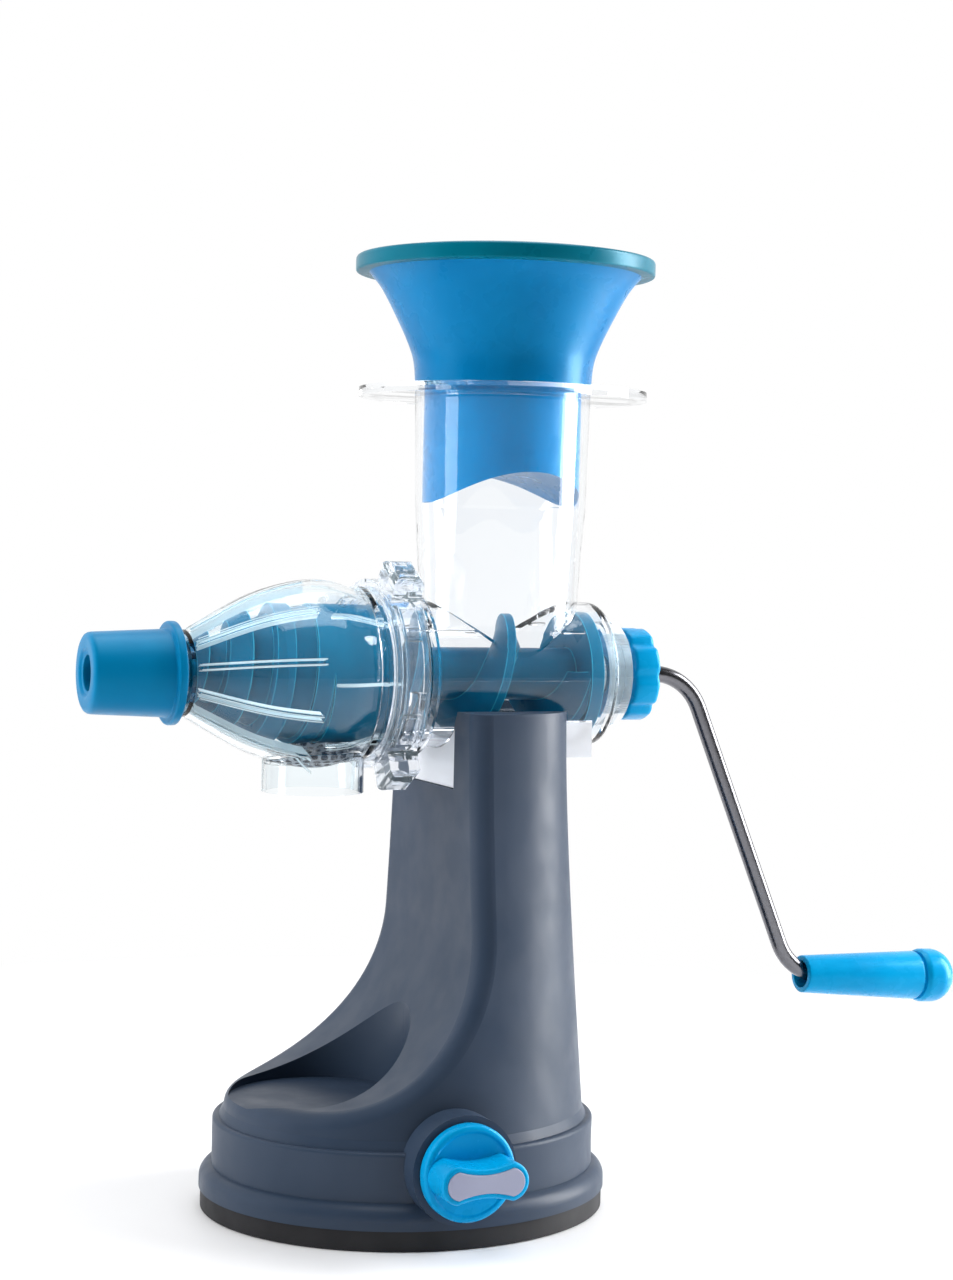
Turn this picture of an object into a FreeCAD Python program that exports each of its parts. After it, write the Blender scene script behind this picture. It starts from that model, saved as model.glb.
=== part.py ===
import FreeCAD, Part
import math
import os
from FreeCAD import Vector

# Hand cranked screw juicer. Millimetres, +Z up. The origin is the centre of the face that the
# suction foot stands on, +X runs along the barrel towards the crank, -Y is the lock knob's side.

# ---- main layout -------------------------------------------------------------------------------
axis_height = 180.6          # barrel, auger and crank axis above the table
hopper_x = 31.0              # hopper axis
glass_x = -31.0              # axis of the round dish that the glass stands in
outlet_x = -35.4             # axis of the strainer and its juice skirt
knob_x = -4.0                # axis of the suction lock
knob_z = 25.5

shell_wall = 2.8             # grey ABS shell
clear_wall = 2.0             # clear polycarbonate walls
weld = 0.5                   # how far joined solids of one piece run into each other
shaft_fit = 0.06             # radial play of a shaft in its bore
ring_fit = 0.4               # radial play between clear parts that turn or plug together

# ---- foot and column ---------------------------------------------------------------------------
foot_half_length = 70.0
foot_half_width = 63.5
foot_band = 6.5              # rubber that shows under the grey flange
flange_top = 14.5
flange_reach = 4.2           # flange outside the lower wall
flange_round = 5.0
ledge_height = 30.5
ledge_round = 1.2
flare_height = 3.0           # the plinth runs out to the ledge over this height
flare_reach = 1.6
plinth_inset = 7.8           # plinth inside the foot's outline
plinth_squareness = 2.0      # exponent of the outline: 2 is an ellipse, more is boxier
column_half_length = 44.4
column_half_width = 38.7
column_squareness = 2.7
column_centre_x = 7.3
column_face_x = 7.3          # flat face towards the glass
taper_power_x = 1.2          # how early the column swells on its way down
taper_power_y = 1.6
cheek_drop = 11.6            # cheek tops below the barrel axis
platform_height = 40.0
sweep_radius = 56.5          # concave sweep from the platform up to the column face
edge_round = 6.0
dish_radius = 30.5
dish_depth = 2.5

# ---- suction foot and its lock -----------------------------------------------------------------
pad_inset = 0.6
pad_rim = 6.0
membrane_thickness = 3.0
stem_disc_radius = 22.0
stem_disc_thickness = 2.2
stem_radius = 4.0
yoke_half_width = 9.0
yoke_depth = 6.0
yoke_bar = 2.2
guide_thickness = 2.4
guide_gap = 1.0              # yoke underside above the guide plate
guide_half_length = 15.0
guide_leg = 3.0
post_thickness = 5.0         # bearing post of the cam shaft
post_wall = 3.5              # plastic left round the shaft and the stem
lock_shaft_radius = 3.5
crank_web_thickness = 3.0
crank_web_radius = 5.6
suction_lift = 3.0           # throw of the crank pin
crank_pin_radius = 2.0
yoke_slot_play = 0.75        # room for the difference between a sine and a straight line
boss_radius = 17.8
boss_reach = 0.3             # boss face outside the foot's outline
boss_depth = 3.0             # boss behind the inside of the wall
boss_play = 0.4              # between boss face and knob disc
knob_disc_radius = 15.7
knob_disc_thickness = 4.6
lever_length = 29.5
lever_end_radius = 6.2
lever_waist = 9.2
lever_touch_angle = 62.0     # where a hollow side meets a round end
lever_height = 12.5
inlay_margin = 1.7
inlay_depth = 1.4
inlay_proud = 0.4
knob_hub_depth = 12.1
knob_disc_round = 1.4
lock_screw_radius = 1.5
lock_screw_head_radius = 2.9
lock_screw_head = 2.2
lock_screw_length = 10.0
lock_screw_play = 0.2
lock_screw_floor = 1.2       # plastic between the screw head and the shaft's end
screw_cross_length = 3.6
screw_cross_width = 0.8
screw_cross_depth = 1.0
clip_thickness = 1.2
clip_reach = 2.6
clip_groove = 0.7
clip_play = 0.1
clip_mouth = 3.2
pin_overhang = 1.5           # crank pin beyond the yoke

# ---- barrel and hopper -------------------------------------------------------------------------
barrel_radius = 25.0
bore_radius = 22.5
barrel_front_x = -12.0
barrel_end_x = 66.8
barrel_end_round = 2.0
rear_wall = 2.8
rear_hub_radius = 18.4
rear_hub_length = 7.8
spigot_radius = 26.4
spigot_end_x = -3.0
lug_radius = 29.2
lug_x = -11.4
lug_width = 2.4
lug_angle = 40.0
collar_x = -3.7
collar_width = 2.5
collar_radius = 28.2
guide_rib_count = 8          # straight ribs that keep the pulp from turning with the auger
guide_rib_phase = 4.5
guide_rib_height = 0.5
guide_rib_thickness = 0.9
guide_rib_end_x = 56.0
tray_rise = 94.4             # tray above the barrel axis
tray_radius = 49.5
tray_thickness = 1.8
tray_bead = 1.3
hopper_mouth_radius = 30.2
hopper_mid_radius = 29.4
hopper_mid_rise = 57.4
throat_half_length = 27.3
throat_half_width = 23.6
throat_rise = 15.4
block_half_width = 20.0
block_start_x = 8.2
block_end_x = 58.5
block_drop = 27.6            # block underside below the axis
tenon_end_x = 46.0
tenon_drop = 37.5
block_wall = 2.6
saddle_play = 0.3

# ---- rear bearing ------------------------------------------------------------------------------
journal_radius = 7.0
bush_radius = 9.5
bush_flange_radius = 12.0
bush_flange = 1.5
seal_thickness = 1.2
seal_outer_radius = 14.0

# ---- press cone, strainer and locking ring -----------------------------------------------------
cone_nose_x = -82.0
cone_end_x = -15.4           # left side of the cone's rear flange
cone_profile = [(-82.0, 13.9), (-70.6, 20.3), (-59.7, 26.0), (-48.0, 29.9), (-38.0, 31.5),
                (-32.0, 31.2), (-26.0, 29.6), (-20.5, 27.9), (-15.0, 27.0)]
cone_flange_radius = 29.3
cone_flange_width = 2.4
cone_flange_bore = 24.4
cone_bead_x = -22.2          # bead round the cone in front of the ring
cone_bead_width = 2.4
cone_bead_radius = 29.5
snout_radius = 10.9
snout_end_gap = 0.2          # snout to the washer in the cap
snout_bore = 7.6
thread_height = 0.35
thread_pitch = 3.0
thread_turns = 5
rib_height = 2.3
rib_thickness = 1.8
rib_count = 10
rib_phase = 8.0
rib_start_x = -79.0
rib_end_x = -42.0
fine_rib_height = 0.7
fine_rib_start_x = -38.0
skirt_radius = 17.1
skirt_wall = 1.3
skirt_drop = 39.6            # skirt's rim below the barrel axis
skirt_root = 20.0            # skirt starts this far below the axis, inside the cone
strainer_play = 0.05
strainer_ledge = 1.2
strainer_wall = 1.8
strainer_hole_radius = 0.9
strainer_pitch = 3.3
strainer_margin = 2.2
strainer_hole_root = 15.0    # holes start this far below the axis
seal_ring_inner = 24.6
seal_ring_outer = 26.2
seal_ring_width = 1.0
ring_start_x = -17.9
ring_end_x = -6.3
ring_lip_width = 2.2
ring_lip_bore = 27.9
ring_wall = 2.4
ring_front_rim = 3.2         # full-thickness rims on both sides of a ribbed hollow band
ring_back_rim = 2.2
ring_hollow = 1.1
ring_rib_offset = 36.0       # ribs on both sides of each ear, measured about the axis
ring_rib_thickness = 1.4
ring_lug_bore = 26.9
ring_lug_x = -8.6
ring_lug_width = 2.2
ring_ear_radius = 41.0
ring_ear_width = 10.6
ring_ear_thickness = 14.0
ring_ear_count = 3
ring_ear_angle = 30.0        # of the first ear when locked
ring_ear_round = 2.5

# ---- auger -------------------------------------------------------------------------------------
auger_tip_x = -90.0
auger_tip_radius = 5.0
auger_clearance = 0.9        # to the ribs
cone_flight_depth = 3.6
cone_flight_pitch = 13.6
cone_flight_land = 5.4
cone_flight_root = 9.5
drum_start_x = -36.5
drum_end_x = -13.6
drum_radius = 23.4
rear_flight_radius = 21.7
rear_flight_pitch = 33.0
rear_flight_tip = 3.0
rear_flight_root = 13.0
rear_core_radius = 9.0
rear_disc_x = 57.0
rear_disc_end_x = 61.6
insert_radius = 4.6
insert_length = 16.0

# ---- drive knob, crank and grip ----------------------------------------------------------------
knob_start_x = 77.4
knob_end_x = 88.2
drive_knob_radius = 16.4
drive_knob_lobes = 8
lobe_groove_radius = 3.2
lobe_groove_depth = 1.3
rod_radius = 2.9
rod_start_x = 64.0
upper_bend_start_x = 92.0
upper_bend_radius = 20.0
lower_bend_radius = 20.0
arm_angle = 67.4             # of the arm below the barrel axis
grip_x = 156.0               # mouth of the grip
grip_z = 70.2
grip_droop = 3.2             # grip axis below the horizontal
grip_length = 48.5
grip_mouth_radius = 6.8
grip_far_radius = 9.0
grip_wall = 1.8
grip_lead = 0.6              # chamfer of the mouth's rim
grip_mouth_taper = 2.0
grip_mouth_depth = 10.0      # wide mouth that takes the end of the rod's bend
grip_groove = 1.0
grip_groove_width = 1.2
end_cap_radius = 9.9
end_cap_length = 16.0
end_cap_plug = 2.0           # into the sleeve
end_cap_wall = 1.6
end_cap_shoulder = 1.2
end_cap_squash = 0.9         # of the dome along the grip
grip_fit = 0.08
grip_washer_radius = 6.2
grip_washer_thickness = 1.0
grip_web = 3.0
grip_end_play = 0.4

# ---- waste cap ---------------------------------------------------------------------------------
cap_flange_x = -84.0
cap_flange_width = 3.0
cap_flange_radius = 17.1
cap_end_x = -114.0
cap_end_radius = 13.3
cap_root_radius = 14.4
cap_end_round = 2.6
cap_end_thickness = 4.0
cap_hole_radius = 5.9
washer_thickness = 1.5
washer_gap = 0.1
washer_bore = 6.4
cap_thread_play = 0.3

# ---- pusher ------------------------------------------------------------------------------------
pusher_radius = 27.0
pusher_wall = 2.2
pusher_rise = 58.0           # lowest point of the pusher above the barrel axis
pusher_arch = 11.0
pusher_rest_gap = 0.2        # shoulder above the tray
trumpet_profile = [(0.0, 30.2), (9.0, 30.8), (15.0, 32.4), (23.5, 36.2), (35.0, 42.3), (40.6, 46.8)]
cap_disc_radius = 51.4
cap_disc_thickness = 5.4
cap_disc_crown = 3.2
cap_plug_depth = 4.0
cap_plug_wall = 2.0
cap_skin = 2.4

# ---- worked out from the above -----------------------------------------------------------------
column_top = axis_height - cheek_drop
boss_face_y = -(foot_half_width + boss_reach)
flange_half_length = foot_half_length - flange_reach
flange_half_width = foot_half_width - flange_reach
plinth_half_length = foot_half_length - plinth_inset
plinth_half_width = foot_half_width - plinth_inset
plinth_base = ledge_height + flare_height
dish_floor = platform_height - dish_depth
bore_end_x = barrel_end_x - rear_wall
hub_end_x = barrel_end_x + rear_hub_length
cone_flight_start_x = cone_nose_x + clear_wall + auger_clearance
washer_x = cap_end_x + cap_end_thickness + washer_gap
snout_end_x = washer_x + washer_thickness + snout_end_gap
skirt_bottom = axis_height - skirt_drop
tray_height = axis_height + tray_rise
tray_top = tray_height + tray_thickness
pusher_bottom = axis_height + pusher_rise
pusher_neck = tray_top + pusher_rest_gap
trumpet_top = pusher_neck + trumpet_profile[-1][0]
big = 400.0

os.makedirs("parts", exist_ok=True)


# ---- drawing helpers ---------------------------------------------------------------------------
def save(name, shape):
    shape.exportStep("parts/" + name + ".step")
    state = "ok" if shape.isValid() else "NOT VALID"
    print(f"{name:22s} solids {len(shape.Solids)}  volume {shape.Volume:10.1f}  {state}")


def box(x0, x1, y0, y1, z0, z1):
    return Part.makeBox(x1 - x0, y1 - y0, z1 - z0, Vector(x0, y0, z0))


def rod_x(radius, x0, x1, z=axis_height, y=0.0):
    return Part.makeCylinder(radius, x1 - x0, Vector(x0, y, z), Vector(1, 0, 0))


def rod_y(radius, y0, y1, x=knob_x, z=knob_z):
    return Part.makeCylinder(radius, y1 - y0, Vector(x, y0, z), Vector(0, 1, 0))


def rod_z(radius, z0, z1, x=0.0, y=0.0):
    return Part.makeCylinder(radius, z1 - z0, Vector(x, y, z0))


def tube_x(outer, inner, x0, x1):
    return rod_x(outer, x0, x1).cut(rod_x(inner, x0 - 1, x1 + 1))


def turned_about_barrel(points):
    """Solid turned about the barrel axis from (x, radius) corners."""
    corners = [Vector(x, 0, axis_height + r) for x, r in points]
    face = Part.Face(Part.makePolygon(corners + corners[:1]))
    return face.revolve(Vector(0, 0, axis_height), Vector(1, 0, 0), 360)


def turned_about_hopper(points):
    """Solid turned about the hopper axis from (radius, z) corners."""
    corners = [Vector(hopper_x + r, 0, z) for r, z in points]
    face = Part.Face(Part.makePolygon(corners + corners[:1]))
    return face.revolve(Vector(hopper_x, 0, 0), Vector(0, 0, 1), 360)


def spline(points):
    curve = Part.BSplineCurve()
    curve.interpolate(points)
    return curve.toShape()


def turned_about_axis(shape, angle):
    """Copy of a shape turned about the barrel axis."""
    copy = shape.copy()
    copy.rotate(Vector(0, 0, axis_height), Vector(1, 0, 0), angle)
    return copy


def sector(radius, x0, x1, middle, width):
    """Wedge about the barrel axis; angles are measured from +Z towards -Y."""
    side = radius * math.tan(math.radians(width / 2))
    corners = [Vector(x0, 0, axis_height), Vector(x0, -side, axis_height + radius),
               Vector(x0, side, axis_height + radius)]
    wedge = Part.Face(Part.makePolygon(corners + corners[:1])).extrude(Vector(x1 - x0, 0, 0))
    return turned_about_axis(wedge, middle)


def fuse_all(shapes):
    return shapes[0].multiFuse(shapes[1:]) if len(shapes) > 1 else shapes[0]


# ---- foot and column shell ---------------------------------------------------------------------
def oval(half_length, half_width, z, centre_x=0.0, squareness=2.0, steps=32):
    """Closed super-ellipse outline at one height."""
    points = []
    for i in range(steps):
        angle = 2 * math.pi * i / steps
        c = math.cos(angle)
        s = math.sin(angle)
        x = centre_x + half_length * math.copysign(abs(c) ** (2 / squareness), c)
        y = half_width * math.copysign(abs(s) ** (2 / squareness), s)
        points.append(Vector(x, y, z))
    curve = Part.BSplineCurve()
    curve.interpolate(points, PeriodicFlag=True)
    return Part.Wire(curve.toShape())


def ellipse_wire(centre_x, z, half_length, half_width):
    """Level ellipse; either half axis may be the longer one."""
    centre = Vector(centre_x, 0, z)
    along = Vector(half_length, 0, 0)
    across = Vector(0, half_width, 0)
    if half_length < half_width:
        along, across = across, -along
    return Part.Wire(Part.Ellipse(centre + along, centre + across, centre).toShape())


def oval_slab(half_length, half_width, z0, z1):
    wire = ellipse_wire(0.0, z0, half_length, half_width)
    return Part.Face(wire).extrude(Vector(0, 0, z1 - z0))


def column_outline(z, inset):
    """Outline of plinth and column at one height, moved inwards by inset."""
    down = min(1.0, max(0.0, (column_top - z) / (column_top - plinth_base)))
    swell_x = down ** taper_power_x
    swell_y = down ** taper_power_y
    half_length = column_half_length + (plinth_half_length - column_half_length) * swell_x
    half_width = column_half_width + (plinth_half_width - column_half_width) * swell_y
    squareness = column_squareness + (plinth_squareness - column_squareness) * down
    return oval(half_length - inset, half_width - inset, z, column_centre_x * (1 - down), squareness)


def column_block(inset):
    """Plinth and column before anything is cut from them."""
    levels = 6
    heights = [plinth_base + (column_top - plinth_base) * i / levels for i in range(levels + 1)]
    tower = Part.makeLoft([column_outline(z, inset) for z in heights], True, False)
    flare = Part.makeLoft([oval(plinth_half_length + flare_reach - inset,
                                plinth_half_width + flare_reach - inset, ledge_height - weld),
                           column_outline(plinth_base, inset)], True, True)
    return tower.fuse(flare)


def glass_side(inset):
    """Everything that is open above the platform: sweep and column face, grown by inset."""
    face_x = column_face_x + inset
    top = platform_height - inset
    radius = sweep_radius + inset
    bend_start = Vector(face_x, 0, top + radius)
    bend_end = Vector(face_x - radius, 0, top)
    turn = math.radians(45)
    bend_middle = Vector(face_x - radius * (1 - math.cos(turn)), 0, top + radius * (1 - math.sin(turn)))
    edges = [Part.LineSegment(Vector(face_x, 0, big), bend_start).toShape(),
             Part.Arc(bend_start, bend_middle, bend_end).toShape(),
             Part.LineSegment(bend_end, Vector(-big, 0, top)).toShape(),
             Part.LineSegment(Vector(-big, 0, top), Vector(-big, 0, big)).toShape(),
             Part.LineSegment(Vector(-big, 0, big), Vector(face_x, 0, big)).toShape()]
    profile = Part.Face(Part.Wire(edges))
    profile.translate(Vector(0, -big / 2, 0))
    return profile.extrude(Vector(0, big, 0))


def saddle_space(inset):
    """Room for the barrel and its block in the column's top, grown by inset."""
    half_width = block_half_width + saddle_play + inset
    block_floor = axis_height - block_drop - saddle_play - inset
    tenon_floor = axis_height - tenon_drop - saddle_play - inset
    barrel = rod_x(barrel_radius + saddle_play + inset, -big, big)
    through = box(-big, big, -half_width, half_width, block_floor, column_top + 1)
    pocket = box(-big, tenon_end_x + saddle_play + inset, -half_width, half_width,
                 tenon_floor, block_floor + 1)
    return barrel.fuse([through, pocket])


def rounded_column():
    """Plinth and column with the glass side cut away and its long edge rounded."""
    body = column_block(0).cut(glass_side(0))
    edges = []
    for edge in body.Edges:
        middle = edge.valueAt((edge.FirstParameter + edge.LastParameter) / 2)
        on_platform = abs(middle.z - platform_height) < 0.01
        on_face = abs(middle.x - column_face_x) < 0.01 and middle.z < column_top - 1
        arc_x = middle.x - (column_face_x - sweep_radius)
        arc_z = middle.z - (platform_height + sweep_radius)
        on_sweep = abs(math.hypot(arc_x, arc_z) - sweep_radius) < 0.01 and arc_x > 0 and arc_z < 0
        across = abs(middle.x - (column_face_x - sweep_radius)) < 0.01
        if (on_platform or on_face or on_sweep) and not across:
            edges.append(edge)
    rim_wall = platform_height - plinth_base
    return body.makeFillet(min(edge_round, rim_wall - weld / 2), edges)


def foot_outside():
    """Flared foot flange and the wall above it up to the ledge."""
    flange = oval_slab(foot_half_length, foot_half_width, foot_band, flange_top)
    top_edges = [e for e in flange.Edges if abs(e.BoundBox.ZMin - flange_top) < 0.01]
    flange = flange.makeFillet(flange_round, top_edges)
    wall = oval_slab(flange_half_length, flange_half_width, foot_band, ledge_height)
    top_edges = [e for e in wall.Edges if abs(e.BoundBox.ZMin - ledge_height) < 0.01]
    return flange.fuse(wall.makeFillet(ledge_round, top_edges))


def dish(inset):
    """Round dish for the glass; it also hollows the sweep behind the glass."""
    return rod_z(dish_radius + inset, dish_floor - inset, column_top, glass_x)


def base_cavity():
    """Hollow inside of the shell, open at the bottom."""
    inside = column_block(shell_wall).cut(glass_side(shell_wall))
    inside = inside.cut([saddle_space(shell_wall), dish(shell_wall)])
    inside = inside.cut(box(-big, big, -big, big, column_top - shell_wall, big))
    lower = oval_slab(flange_half_length - shell_wall, flange_half_width - shell_wall,
                      foot_band - 1, ledge_height - weld)
    return inside.fuse(lower).Solids


def lock_supports():
    """Bearing post and stem guide that hang under the dish inside the shell."""
    ceiling = dish_floor - shell_wall + weld
    guide_top = knob_z - yoke_height() / 2 - guide_gap
    post_y = crank_web_y() - ring_fit
    half_post = lock_shaft_radius + post_wall
    post = box(knob_x - half_post, knob_x + half_post, post_y - post_thickness, post_y,
               knob_z - half_post, ceiling)
    half_guide = stem_radius + post_wall
    guide_bottom = guide_top - guide_thickness
    guide = box(knob_x - guide_half_length, knob_x + guide_half_length, -half_guide, half_guide,
                guide_bottom, guide_top)
    legs = [box(x, x + guide_leg, -half_guide, half_guide, guide_bottom, ceiling)
            for x in (knob_x - guide_half_length, knob_x + guide_half_length - guide_leg)]
    return [post, guide] + legs


def boss_inner_y():
    """Inner end of the lock's boss, inside the lower wall."""
    return -(flange_half_width - shell_wall - boss_depth)


def base_body():
    shell = foot_outside().fuse(rounded_column())
    shell = shell.cut(dish(0))
    shell = shell.cut(saddle_space(0))
    for hollow in base_cavity():
        shell = shell.cut(hollow)
    boss = rod_y(boss_radius, boss_face_y, boss_inner_y())
    shell = shell.fuse([boss] + lock_supports())
    shell = shell.cut(rod_y(lock_shaft_radius + shaft_fit, boss_face_y - 1, 0))
    shell = shell.cut(rod_z(stem_radius + shaft_fit + 0.1, foot_band, knob_z, knob_x))
    return shell.cut(box(-big, big, -big, big, -big, foot_band))


# ---- suction foot ------------------------------------------------------------------------------
def yoke_height():
    return 2 * (crank_pin_radius + yoke_slot_play + yoke_bar)


def suction_pad():
    """Black rubber foot: a thick rim that shows, and a thinner membrane that is pulled up."""
    outer = oval_slab(foot_half_length - pad_inset, foot_half_width - pad_inset, 0, foot_band)
    reach = pad_inset + pad_rim
    return outer.cut(oval_slab(foot_half_length - reach, foot_half_width - reach,
                               membrane_thickness, foot_band + 1))


def suction_stem():
    """Disc moulded on the membrane, stem, and the yoke that the crank pin lifts."""
    disc = rod_z(stem_disc_radius, membrane_thickness, membrane_thickness + stem_disc_thickness, knob_x)
    half = yoke_height() / 2
    stem = rod_z(stem_radius, membrane_thickness, knob_z - half + 1, knob_x)
    yoke = box(knob_x - yoke_half_width, knob_x + yoke_half_width, -yoke_depth / 2, yoke_depth / 2,
               knob_z - half, knob_z + half)
    slot_half_height = crank_pin_radius + yoke_slot_play
    slot_half_width = suction_lift + crank_pin_radius + 1.0
    slot = box(knob_x - slot_half_width, knob_x + slot_half_width, -big, big,
               knob_z - slot_half_height, knob_z + slot_half_height)
    return disc.fuse([stem, yoke]).cut(slot)


def crank_web_y():
    """Back of the crank web, which clears the stem."""
    return -max(yoke_depth / 2, stem_radius) - ring_fit - crank_web_thickness


def knob_back_y():
    return boss_face_y - boss_play


def cam_shaft():
    """Shaft of the lock knob with a crank web and pin at its inner end."""
    web_y = crank_web_y()
    shaft = rod_y(lock_shaft_radius, knob_back_y() - knob_hub_depth, web_y + weld)
    web = rod_y(crank_web_radius, web_y, web_y + crank_web_thickness)
    pin = rod_y(crank_pin_radius, web_y, yoke_depth / 2 + pin_overhang, x=knob_x + suction_lift)
    clip_y = boss_inner_y() + clip_play
    groove = rod_y(lock_shaft_radius + 1, clip_y, clip_y + clip_thickness + 2 * clip_play)
    groove = groove.cut(rod_y(lock_shaft_radius - clip_groove, clip_y - 1, web_y))
    screw_hole = rod_y(lock_screw_radius, knob_back_y() - knob_hub_depth - 1,
                       knob_back_y() - knob_hub_depth + lock_screw_length)
    return shaft.fuse([web, pin]).cut([groove, screw_hole])


def shaft_clip():
    """Spring clip that keeps the cam shaft in the boss."""
    y0 = boss_inner_y() + 2 * clip_play
    y1 = y0 + clip_thickness
    ring = rod_y(lock_shaft_radius + clip_reach, y0, y1)
    ring = ring.cut(rod_y(lock_shaft_radius - clip_groove, y0 - 1, y1 + 1))
    mouth = box(knob_x - clip_mouth / 2, knob_x + clip_mouth / 2, y0 - 1, y1 + 1, 0, knob_z)
    return ring.cut(mouth)


def bow_tie(margin, y0, y1):
    """Bow-tie bar: two round ends joined by a narrower waist with hollow sides."""
    end = lever_end_radius - margin
    reach = lever_length / 2 - lever_end_radius
    waist = lever_waist / 2 - margin
    touch = math.radians(lever_touch_angle)
    touch_x = reach - end * math.cos(touch)
    touch_z = end * math.sin(touch)

    def at(x, z):
        return Vector(knob_x + x, y0, knob_z + z)

    edges = [Part.Arc(at(-touch_x, touch_z), at(0, waist), at(touch_x, touch_z)).toShape(),
             Part.Arc(at(touch_x, touch_z), at(reach + end, 0), at(touch_x, -touch_z)).toShape(),
             Part.Arc(at(touch_x, -touch_z), at(0, -waist), at(-touch_x, -touch_z)).toShape(),
             Part.Arc(at(-touch_x, -touch_z), at(-reach - end, 0), at(-touch_x, touch_z)).toShape()]
    return Part.Face(Part.Wire(edges)).extrude(Vector(0, y1 - y0, 0))


def lever_front_y():
    return knob_back_y() - knob_disc_thickness - lever_height


def lock_knob():
    """Round disc with the bow-tie lever that the fingers turn."""
    back = knob_back_y()
    disc = rod_y(knob_disc_radius, back - knob_disc_thickness, back)
    front_edge = [e for e in disc.Edges if abs(e.BoundBox.YMax - (back - knob_disc_thickness)) < 0.01]
    disc = disc.makeFillet(knob_disc_round, front_edge)
    lever = bow_tie(0.0, lever_front_y(), back - weld)
    knob = disc.fuse(lever)
    knob = knob.cut(bow_tie(inlay_margin, lever_front_y() - 1, lever_front_y() + inlay_depth))
    knob = knob.cut(rod_y(lock_shaft_radius, back - knob_hub_depth, back + 1))
    knob = knob.cut(rod_y(lock_screw_radius + lock_screw_play, lever_front_y(), back))
    return knob.cut(rod_y(lock_screw_head_radius + lock_screw_play, lever_front_y(), screw_head_y()))


def screw_head_y():
    return knob_back_y() - knob_hub_depth - lock_screw_floor


def lock_knob_inlay():
    return bow_tie(inlay_margin, lever_front_y() - inlay_proud, lever_front_y() + inlay_depth)


def lock_knob_screw():
    head_y = screw_head_y()
    head = rod_y(lock_screw_head_radius, head_y - lock_screw_head, head_y)
    shank = rod_y(lock_screw_radius, head_y - weld, head_y + lock_screw_length)
    front = head_y - lock_screw_head
    floor = front + screw_cross_depth
    along = screw_cross_length / 2
    across = screw_cross_width / 2
    cross = [box(knob_x - along, knob_x + along, front - 1, floor, knob_z - across, knob_z + across),
             box(knob_x - across, knob_x + across, front - 1, floor, knob_z - along, knob_z + along)]
    return head.fuse(shank).cut(cross)


# ---- barrel with hopper ------------------------------------------------------------------------
def hopper_solid(inset):
    """Round hopper tube that narrows to an oval throat above the auger."""
    mouth = Part.Wire(Part.Circle(Vector(hopper_x, 0, tray_height + 2 * inset), Vector(0, 0, 1),
                                  hopper_mouth_radius - inset).toShape())
    middle = Part.Wire(Part.Circle(Vector(hopper_x, 0, axis_height + hopper_mid_rise), Vector(0, 0, 1),
                                   hopper_mid_radius - inset).toShape())
    throats = [ellipse_wire(hopper_x, z, throat_half_length - inset, throat_half_width - inset)
               for z in (axis_height + throat_rise, axis_height)]
    tube = Part.makeLoft([mouth, middle], True, True)
    funnel = Part.makeLoft([middle, throats[0]], True, True)
    throat = Part.makeLoft(throats, True, True)
    return tube.fuse([funnel, throat])


def tray():
    """Round feeding tray at the hopper's mouth, with a small bead round its rim."""
    inner = hopper_mouth_radius - clear_wall / 2
    bead_inner = tray_radius - tray_thickness
    return turned_about_hopper([(inner, tray_height), (tray_radius, tray_height),
                                (tray_radius, tray_top + tray_bead), (bead_inner, tray_top + tray_bead),
                                (bead_inner - tray_bead, tray_top), (inner, tray_top)])


def mounting_block():
    """Hollow block under the barrel whose tenon drops into the column's top."""
    plate = box(block_start_x, block_end_x, -block_half_width, block_half_width,
                axis_height - block_drop, axis_height)
    tenon = box(block_start_x, tenon_end_x, -block_half_width, block_half_width,
                axis_height - tenon_drop, axis_height)
    hollow = box(block_start_x + block_wall, tenon_end_x - block_wall,
                 -block_half_width + block_wall, block_half_width - block_wall,
                 axis_height - tenon_drop - 1, axis_height)
    return plate.fuse(tenon).cut(hollow)


def bayonet_lugs(inner, outer, x0, width, middle):
    """Three lugs evenly spaced round the barrel axis."""
    band = tube_x(outer, inner, x0, x0 + width)
    return [band.common(sector(outer + 5, x0, x0 + width, middle + 120 * i, lug_angle)) for i in range(3)]


def rib_plates(count, phase, x0, x1, thickness):
    """Plates along the barrel axis that stand out from it evenly."""
    plate = box(x0, x1, -thickness / 2, thickness / 2, axis_height, axis_height + lug_radius + 5)
    return fuse_all([turned_about_axis(plate, phase + 360 / count * i) for i in range(count)])


def bore_ribs():
    """Straight ribs in the barrel's bore."""
    band = tube_x(bore_radius + weld, bore_radius - guide_rib_height, barrel_front_x, guide_rib_end_x)
    return band.common(rib_plates(guide_rib_count, guide_rib_phase, barrel_front_x, guide_rib_end_x,
                                  guide_rib_thickness))


def juicer_barrel():
    barrel = rod_x(barrel_radius, barrel_front_x, barrel_end_x)
    end_edge = [e for e in barrel.Edges if e.BoundBox.XMin > barrel_end_x - 0.1]
    outside = [barrel.makeFillet(barrel_end_round, end_edge),
               rod_x(rear_hub_radius, barrel_end_x - weld, hub_end_x),
               rod_x(spigot_radius, barrel_front_x, spigot_end_x),
               rod_x(collar_radius, collar_x, collar_x + collar_width),
               hopper_solid(0), mounting_block()]
    body = fuse_all(outside)
    body = body.cut(rod_x(bore_radius, barrel_front_x - 1, bore_end_x)).fuse(bore_ribs())
    body = body.cut(hopper_solid(clear_wall))
    body = body.fuse(bayonet_lugs(spigot_radius - weld, lug_radius, lug_x, lug_width, 0) + [tray()])
    return body.cut(rod_x(bush_radius, bore_end_x - 1, hub_end_x + 1))


def rear_bush():
    """Flanged bearing bush for the auger's journal."""
    sleeve = rod_x(bush_radius, bore_end_x - weld, hub_end_x)
    head = rod_x(bush_flange_radius, bore_end_x - bush_flange, bore_end_x)
    return sleeve.fuse(head).cut(rod_x(journal_radius + shaft_fit, -big, big))


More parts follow.
